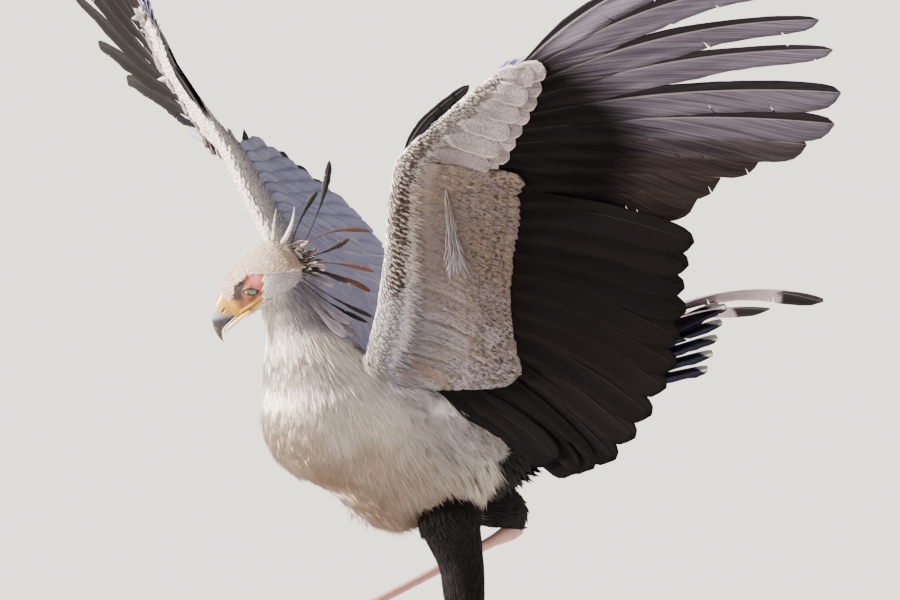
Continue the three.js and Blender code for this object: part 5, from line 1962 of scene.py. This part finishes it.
below_crown = -crown_height(fore, up)
grey = np.where(crown > 0.5, 0.02 + 0.2 * rise(fore, -38, -46), 0.72 - 0.2 * rise(fore, -10, 12))
chin = rise(up, -21, -26) * rise(fore, 8, 20)
nape = rise(fore, 0, -34)
# brow_shadow is painted shadow under the crown's overhanging front edge; eye_brown is dark skin round the
# eye.
brow_shadow = rise(below_crown, 12, 2.5) * rise(fore, 18, 26) * rise(fore, 54, 44)
eye_brown = (blob(36, 5, 7) + 0.95 * blob(38, -3, 5.5) + 0.8 * blob(27, -15, 5) + 0.5 * blob(15, -13, 4))
mouth_line = rise(np.abs(up + 21.9 + 0.02 * (fore - 32)), 1.1, 0.4) * rise(fore, 14, 17)
head_marks = {
    "mouth": mouth_line * (np.abs(across) > 6),
    "pink": np.clip(1.2 * blob(9, 3, 7), 0, 1),
    "red": np.clip(blob(8, -6, 5.5) + 0.9 * blob(14, -1, 4), 0, 1),
    "umber": np.clip(brow_shadow + eye_brown, 0, 1),
    "yellow": np.clip(rise(fore, 42, 50) * rise(up, 4, -2) + rise(up, -15.5, -18), 0, 1),
    "grey": grey * (1 - 0.5 * chin),
    "tan": 0.72 * crown + 0.34 * (1 - crown),
    # dark here is a painted shadow line under the crown's overhanging edge behind the eye.
    "dark": 0.47 * rise(below_crown, 3.2, 0.2) * rise(below_crown, -0.6, 0.4) * rise(fore, 12, 4),
    "bar": 0 * fore,
    "run": 0 * fore,
    "speck": 0 * fore,
    "long": 0.0052 + 0.006 * nape + 0.008 * chin,
    "wide": 0.0021 + 0.0012 * nape,
    "lift": 0.012 + 0.3 * chin,
}
for key, value in head_marks.items():
    put(head_skin.data, key, value)
print("marks on the head:", len(head_marks))

# %% [markdown]
# The face's skin is pored and blotched, with the marks' colours laid one over the other. Where
# it isn't bare it has the down's colours, as the skin of the body has.

# %% Face skin, and the coat of the head


def face_paint():
    paint = Paint("face_skin")
    pores, blotch = paint.noise(1300, 2), paint.noise(150, 3)
    tone = paint.mix(paint.clamp(blotch, 0.35, 0.65), (0.19, 0.048, 0.017), (0.31, 0.1, 0.028))
    # umber lays the dark brown skin round the eye and the painted shadow under the brow.
    for key, strong, colour in (
            ("umber", 0.97, (0.014, 0.005, 0.0035)), ("red", 0.9, (0.33, 0.045, 0.04)),
            ("pink", 0.85, (0.5, 0.135, 0.15)), ("yellow", 0.9, (0.55, 0.265, 0.018)),
            ("mouth", 0.95, (0.03, 0.012, 0.01))):
        tone = paint.mix(paint.read(key) * strong, tone, colour)
    tone = paint.mix(paint.clamp(pores, 0.6, 0.75) * 0.2, tone, (0.2, 0.08, 0.05))
    tone = paint.mix(paint.clamp(paint.read("bare"), 0.6, 0.3), tone, plumage(paint))
    return paint.finish(tone, 0.48, bump=pores + blotch, strength=0.35, distance=0.0006)


head_skin.data.materials.append(face_paint())
unwrap(head_skin)
head_coat = grow("coat_head", head_skin, (1 - bare) * rise(fore, 55, 50), TINY, 0.00118, 21,
                 unrest=0.1, material=head_coat_material)
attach(head_skin, "root")

# %% [markdown]
# Crest: long spoon-shaped quills that stand out behind the crown and hang over the neck. The
# long ones differ so much that each has a row of its own; the tufts at the nape are strewn.

# %% [markdown]
# Long spoon-shaped quills stand out behind the crown and hang over the neck. The long ones differ
# so much that each has a row of its own; the tufts at the nape are strewn.

# %% Crest
PALE, SMOKE, SOOT = (0.74, 0.63, 0.56), (0.115, 0.098, 0.125), NIGHT
RUST, UMBER = (0.11, 0.052, 0.04), (0.026, 0.019, 0.014)
# fore and up of the root, then of the tip, half width, bow, slant, stalk's width, hue
CREST = [
    (-33, 27, -47, 50, 2.6, 1, 4, 1, PALE), (-41, 18, -83, 42, 3.2, -5, 3, 1, PALE),
    (-38, 22, -64, 52, 2.6, 2, -9, 1, PALE), (-44, -14, -151, 60, 4.6, -9, 6, 0.1, SOOT),
    (-44, -8, -116, 38, 3.4, 6, -4, 0.2, SOOT), (-44, -6, -111, -32, 3.4, -6, -12, 0.2, UMBER),
    (-44, -10, -137, -42, 3, 16, -20, 0.2, RUST), (-44, -14, -110, -82, 3, 5, -9, 0.2, RUST),
    (-40, -16, -77, -72, 3.8, 3, 0, 0.5, UMBER), (-38, -20, -62, -64, 4.2, 2, 12, 0.7, SMOKE),
    (-38, -22, -75, -124, 3, -4, 4, 0.14, SOOT), (-36, -24, -66, -126, 3, -6, -3, 0.14, SOOT),
    (-34, -26, -50, -113, 6.4, -5, 9, 0.3, SMOKE), (-34, -28, -36, -122, 7, -6, 14, 0.3, SMOKE),
    (-34, -26, -45, -130, 6.5, -3, -8, 0.3, SMOKE), (-40, -16, -92, -100, 3.6, 6, -18, 0.2, RUST),
]
NAPE_TUFTS = 60


def crest_paint():
    paint = Paint("crest_feathers")
    lines, off, along = barbs(paint, 60, 0.5)
    edge = paint.clamp(off, 0.34, 0.46) * paint.clamp(along, 0.5, 0.8)
    hue = shaded(paint, paint.read("hue", "Vector"), 0.9 + (paint.noise(90, 3) - 0.5) * 0.7)
    hue = paint.mix(edge * paint.read("rim"), hue, (0.7, 0.62, 0.56))
    rod = paint.clamp(off, 0.05, 0.02)
    return paint.finish(hue, 0.55, bump=lines * 0.5 + rod, strength=0.3, distance=0.0004,
                        Specular_IOR_Level=0.15)


def add_crest_feather(quills, row, **settings):
    rf, ru, tf, tu, half, bow, slant, stalk, hue = row
    root = on_head(rf * 0.7 - 6, ru * 0.75, slant * 0.3)
    way = on_head(tf, tu, slant) - root
    lift = unit(np.cross(HEAD_SIDE, way))

    def path(s):
        s = np.asarray(s)[:, None]
        return root + way * s + lift * (4 * bow / 1000) * s * (1 - s)

    profile = SPIKE_TIP if stalk == 1 else [[s, max(w, stalk)] if s < 0.9 else [s, w] for s, w in SPOON_TIP]
    face = HEAD_SIDE + lift * draw.uniform(-0.3, 0.3)
    quills.add(path, face, half / 1000, half / 1000, profile, shaft=0.0005, camber=0.25, rough=0.05,
               hue=hue, **settings)


quills = Quills("crest")
for row in CREST:
    add_crest_feather(quills, row, rows=20, splits=4, rim=0.22 if row[-1] == SMOKE else 0.08)
for _ in range(NAPE_TUFTS):
    root = np.array([-38 + draw.uniform(-3, 6), draw.uniform(-24, 14)])
    way = np.array([-1, -0.95 + draw.uniform(-0.5, 0.9)])
    tip = root + way / np.linalg.norm(way) * draw.uniform(18, 36)
    hue = [PALE, UMBER, SMOKE, SOOT, UMBER, RUST][draw.integers(6)]
    row = [*root, *tip, draw.uniform(1.1, 2.6), draw.uniform(-5, 6), draw.uniform(-14, 14), 0.5, hue]
    add_crest_feather(quills, row, rows=9, splits=2, rim=draw.uniform(0, 0.8))
crest = quills.build(crest_paint())

# %% [markdown]
# Shanks and feet are pink and scaled, the claws dark horn. Small cells make the scales' edges.

# %% Paints of the legs


def leg_paint():
    paint = Paint("leg_skin")
    cells = paint.node("ShaderNodeTexVoronoi", {"feature": "DISTANCE_TO_EDGE"},
                       {"Vector": paint.place(), "Scale": 420})
    tone = paint.mix(paint.noise(60, 3), (0.56, 0.27, 0.23), (0.66, 0.4, 0.35))
    tone = paint.mix(paint.clamp(cells, 0.12, 0.0) * 0.5, tone, (0.34, 0.19, 0.16))
    return paint.finish(tone, 0.48, bump=paint.clamp(cells, 0, 0.25), strength=0.5, distance=0.0008)


def claw_paint():
    paint = Paint("claw_horn")
    return paint.finish(paint.mix(paint.noise(200, 3), (0.02, 0.016, 0.015), (0.06, 0.045, 0.04)), 0.35)


leg_material, claw_material = leg_paint(), claw_paint()
print("paints of the legs:", leg_material.name, "and", claw_material.name)

# %% [markdown]
# A shank runs from heel to ankle, and four toes spread from a ball under it. The plates on their
# front are steps in the rings' radius, which show in the outline, as a bump would not. The left
# foot stands flat; the right one hangs back with curled toes, so each has its own directions.

# %% Legs
# share of the way from heel to foot, radius
SHANK = [[-0.03, 9], [0.01, 10.5], [0.06, 9], [0.16, 6.4], [0.5, 5.6], [0.84, 6.2], [0.93, 8], [0.975, 9]]
# share of the toe, height over the sole, thickness; both in shares of the toe's own
TOE = [[0, 1.3, 1], [0.3, 0.96, 0.94], [0.6, 0.92, 1], [0.86, 0.92, 0.94], [1, 0.86, 0.74], [1.04, 0.86, 0.5]]
CLAW = [[-2, 1.02, 0.56], [4, 1.05, 0.52], [10, 0.85, 0.36], [15, 0.42, 0.12]]
TOES = [[0, 62, 6], [-36, 42, 5.6], [36, 44, 5.6], [None, 24, 5.2]]
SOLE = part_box("stand_base")[1][2] * 1000 + 0.3
# side, heel, foot's centre, down, ahead, across, hind toe's way, curl
LEGS = [
    ("left", (55, -24, 312), (55, -22, SOLE), (0, 0, -1), (0, -1, 0), (1, 0, 0), (0, 1, 0), 0),
    ("right", (-45, 112, 410), (-45, -166, 296), (0, 0.66, -0.75), (0, -0.75, -0.66), (-1, 0, 0),
     (0, 0.9, -0.44), 0.42),
]
ANKLE_HEIGHT = 8.4


def plated(name, rows, front, pitch, depth, n=28):
    rows = np.array(rows, float) / 1000
    rings = limb_rings(rows, n, front)
    run = np.concatenate([[0], np.cumsum(np.linalg.norm(np.diff(rows[:, :3], axis=0), axis=1))])
    out = rings - rows[:, None, :3]
    facing = unit(out) @ np.array(front)
    plate = depth * ((run / pitch) % 1)[:, None] * rise(facing, 0.0, 0.45)
    return loft(name, rows[:, None, :3] + out * (1 + plate / rows[:, 3:4])[..., None])


def foot_and_claws(centre, ankle, down, ahead, across_way, hind, curl):
    toes, claws = [], []
    for turn, length, thick in TOES:
        aside = 0 if turn is None else math.radians(turn)
        way = hind if turn is None else unit(ahead * math.cos(aside) + across_way * math.sin(aside))

        def spot(reach, lift):
            return centre + way * reach + down * (curl * reach * reach / length - thick * lift)

        rows = [[*spot(length * s, lift), thick * wide] for s, lift, wide in refine(TOE, 14)]
        toes.append(plated("toe", rows, -down, 0.0042, 0.0006))
        rows = [[*spot(length + s, lift), thick * wide] for s, lift, wide in refine(CLAW, 6)]
        claws.append(loft("claw", limb_rings(np.array(rows) / 1000, 16, -down)))
    return melt(join("foot", *toes, ball(0.0098, ankle / 1000, 32, 20)), 0.0007, 1), claws


for side, *measures, curl in LEGS:
    heel, centre, down, ahead, across_way, hind = np.array(measures, float)
    down, ahead, hind = unit(down), unit(ahead), unit(hind)
    ankle = centre - down * ANKLE_HEIGHT
    rows = [[*(heel + (ankle - heel) * s), r] for s, r in refine(SHANK, 40)]
    front = unit(np.cross(across_way, ankle - heel)) * (1 if side == "left" else -1)
    shank = plated("shank", rows, front, 0.0062, 0.0007)
    foot, claws = foot_and_claws(centre, ankle, down, ahead, across_way, hind, curl)
    leg = join("leg_" + side, foot, shank)
    claw = join("claws_" + side, *claws)
    for item, material, nodes, name in (
            (leg, leg_material, ["tarsus_" + side, "foot_" + side], "leg_skin"),
            (claw, claw_material, ["claw_%s_%d" % (side, i + 1) for i in range(4)], "claw_horn")):
        item.data.materials.clear()
        item.data.materials.append(material)
        item.data.shade_smooth()
        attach(item, "root")
        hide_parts(*nodes)
    print("leg", side, "has", len(leg.data.polygons), "faces")

# %% [markdown]
# The plate is plain waxed wood. The solid has its shape already, so it only gets its paint:
# noise stretched along the boards makes the grain.

# %% Plate
wood = Paint("plate_wood")
stretched = {"Vector": wood.place(), "Scale": (60.0, 3.0, 60.0)}
grain = wood.noise(1.0, 5.0, wood.node("ShaderNodeMapping", None, stretched))
tone = wood.mix(wood.clamp(grain, 0.3, 0.7), (0.1, 0.052, 0.028), (0.22, 0.12, 0.062))
plate = frame["nodes"]["stand_base"]
plate.data.materials.clear()
plate.data.materials.append(
    wood.finish(tone, 0.4, bump=grain, strength=0.08, distance=0.001, Coat_Weight=0.3))
print("the plate is painted with", plate.data.materials[0].name)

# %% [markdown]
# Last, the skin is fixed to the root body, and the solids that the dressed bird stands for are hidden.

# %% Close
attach(skin, "root")
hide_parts("torso", "neck", "wing_left", "wing_right", "thigh_left", "thigh_right", "tail")
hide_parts("head")
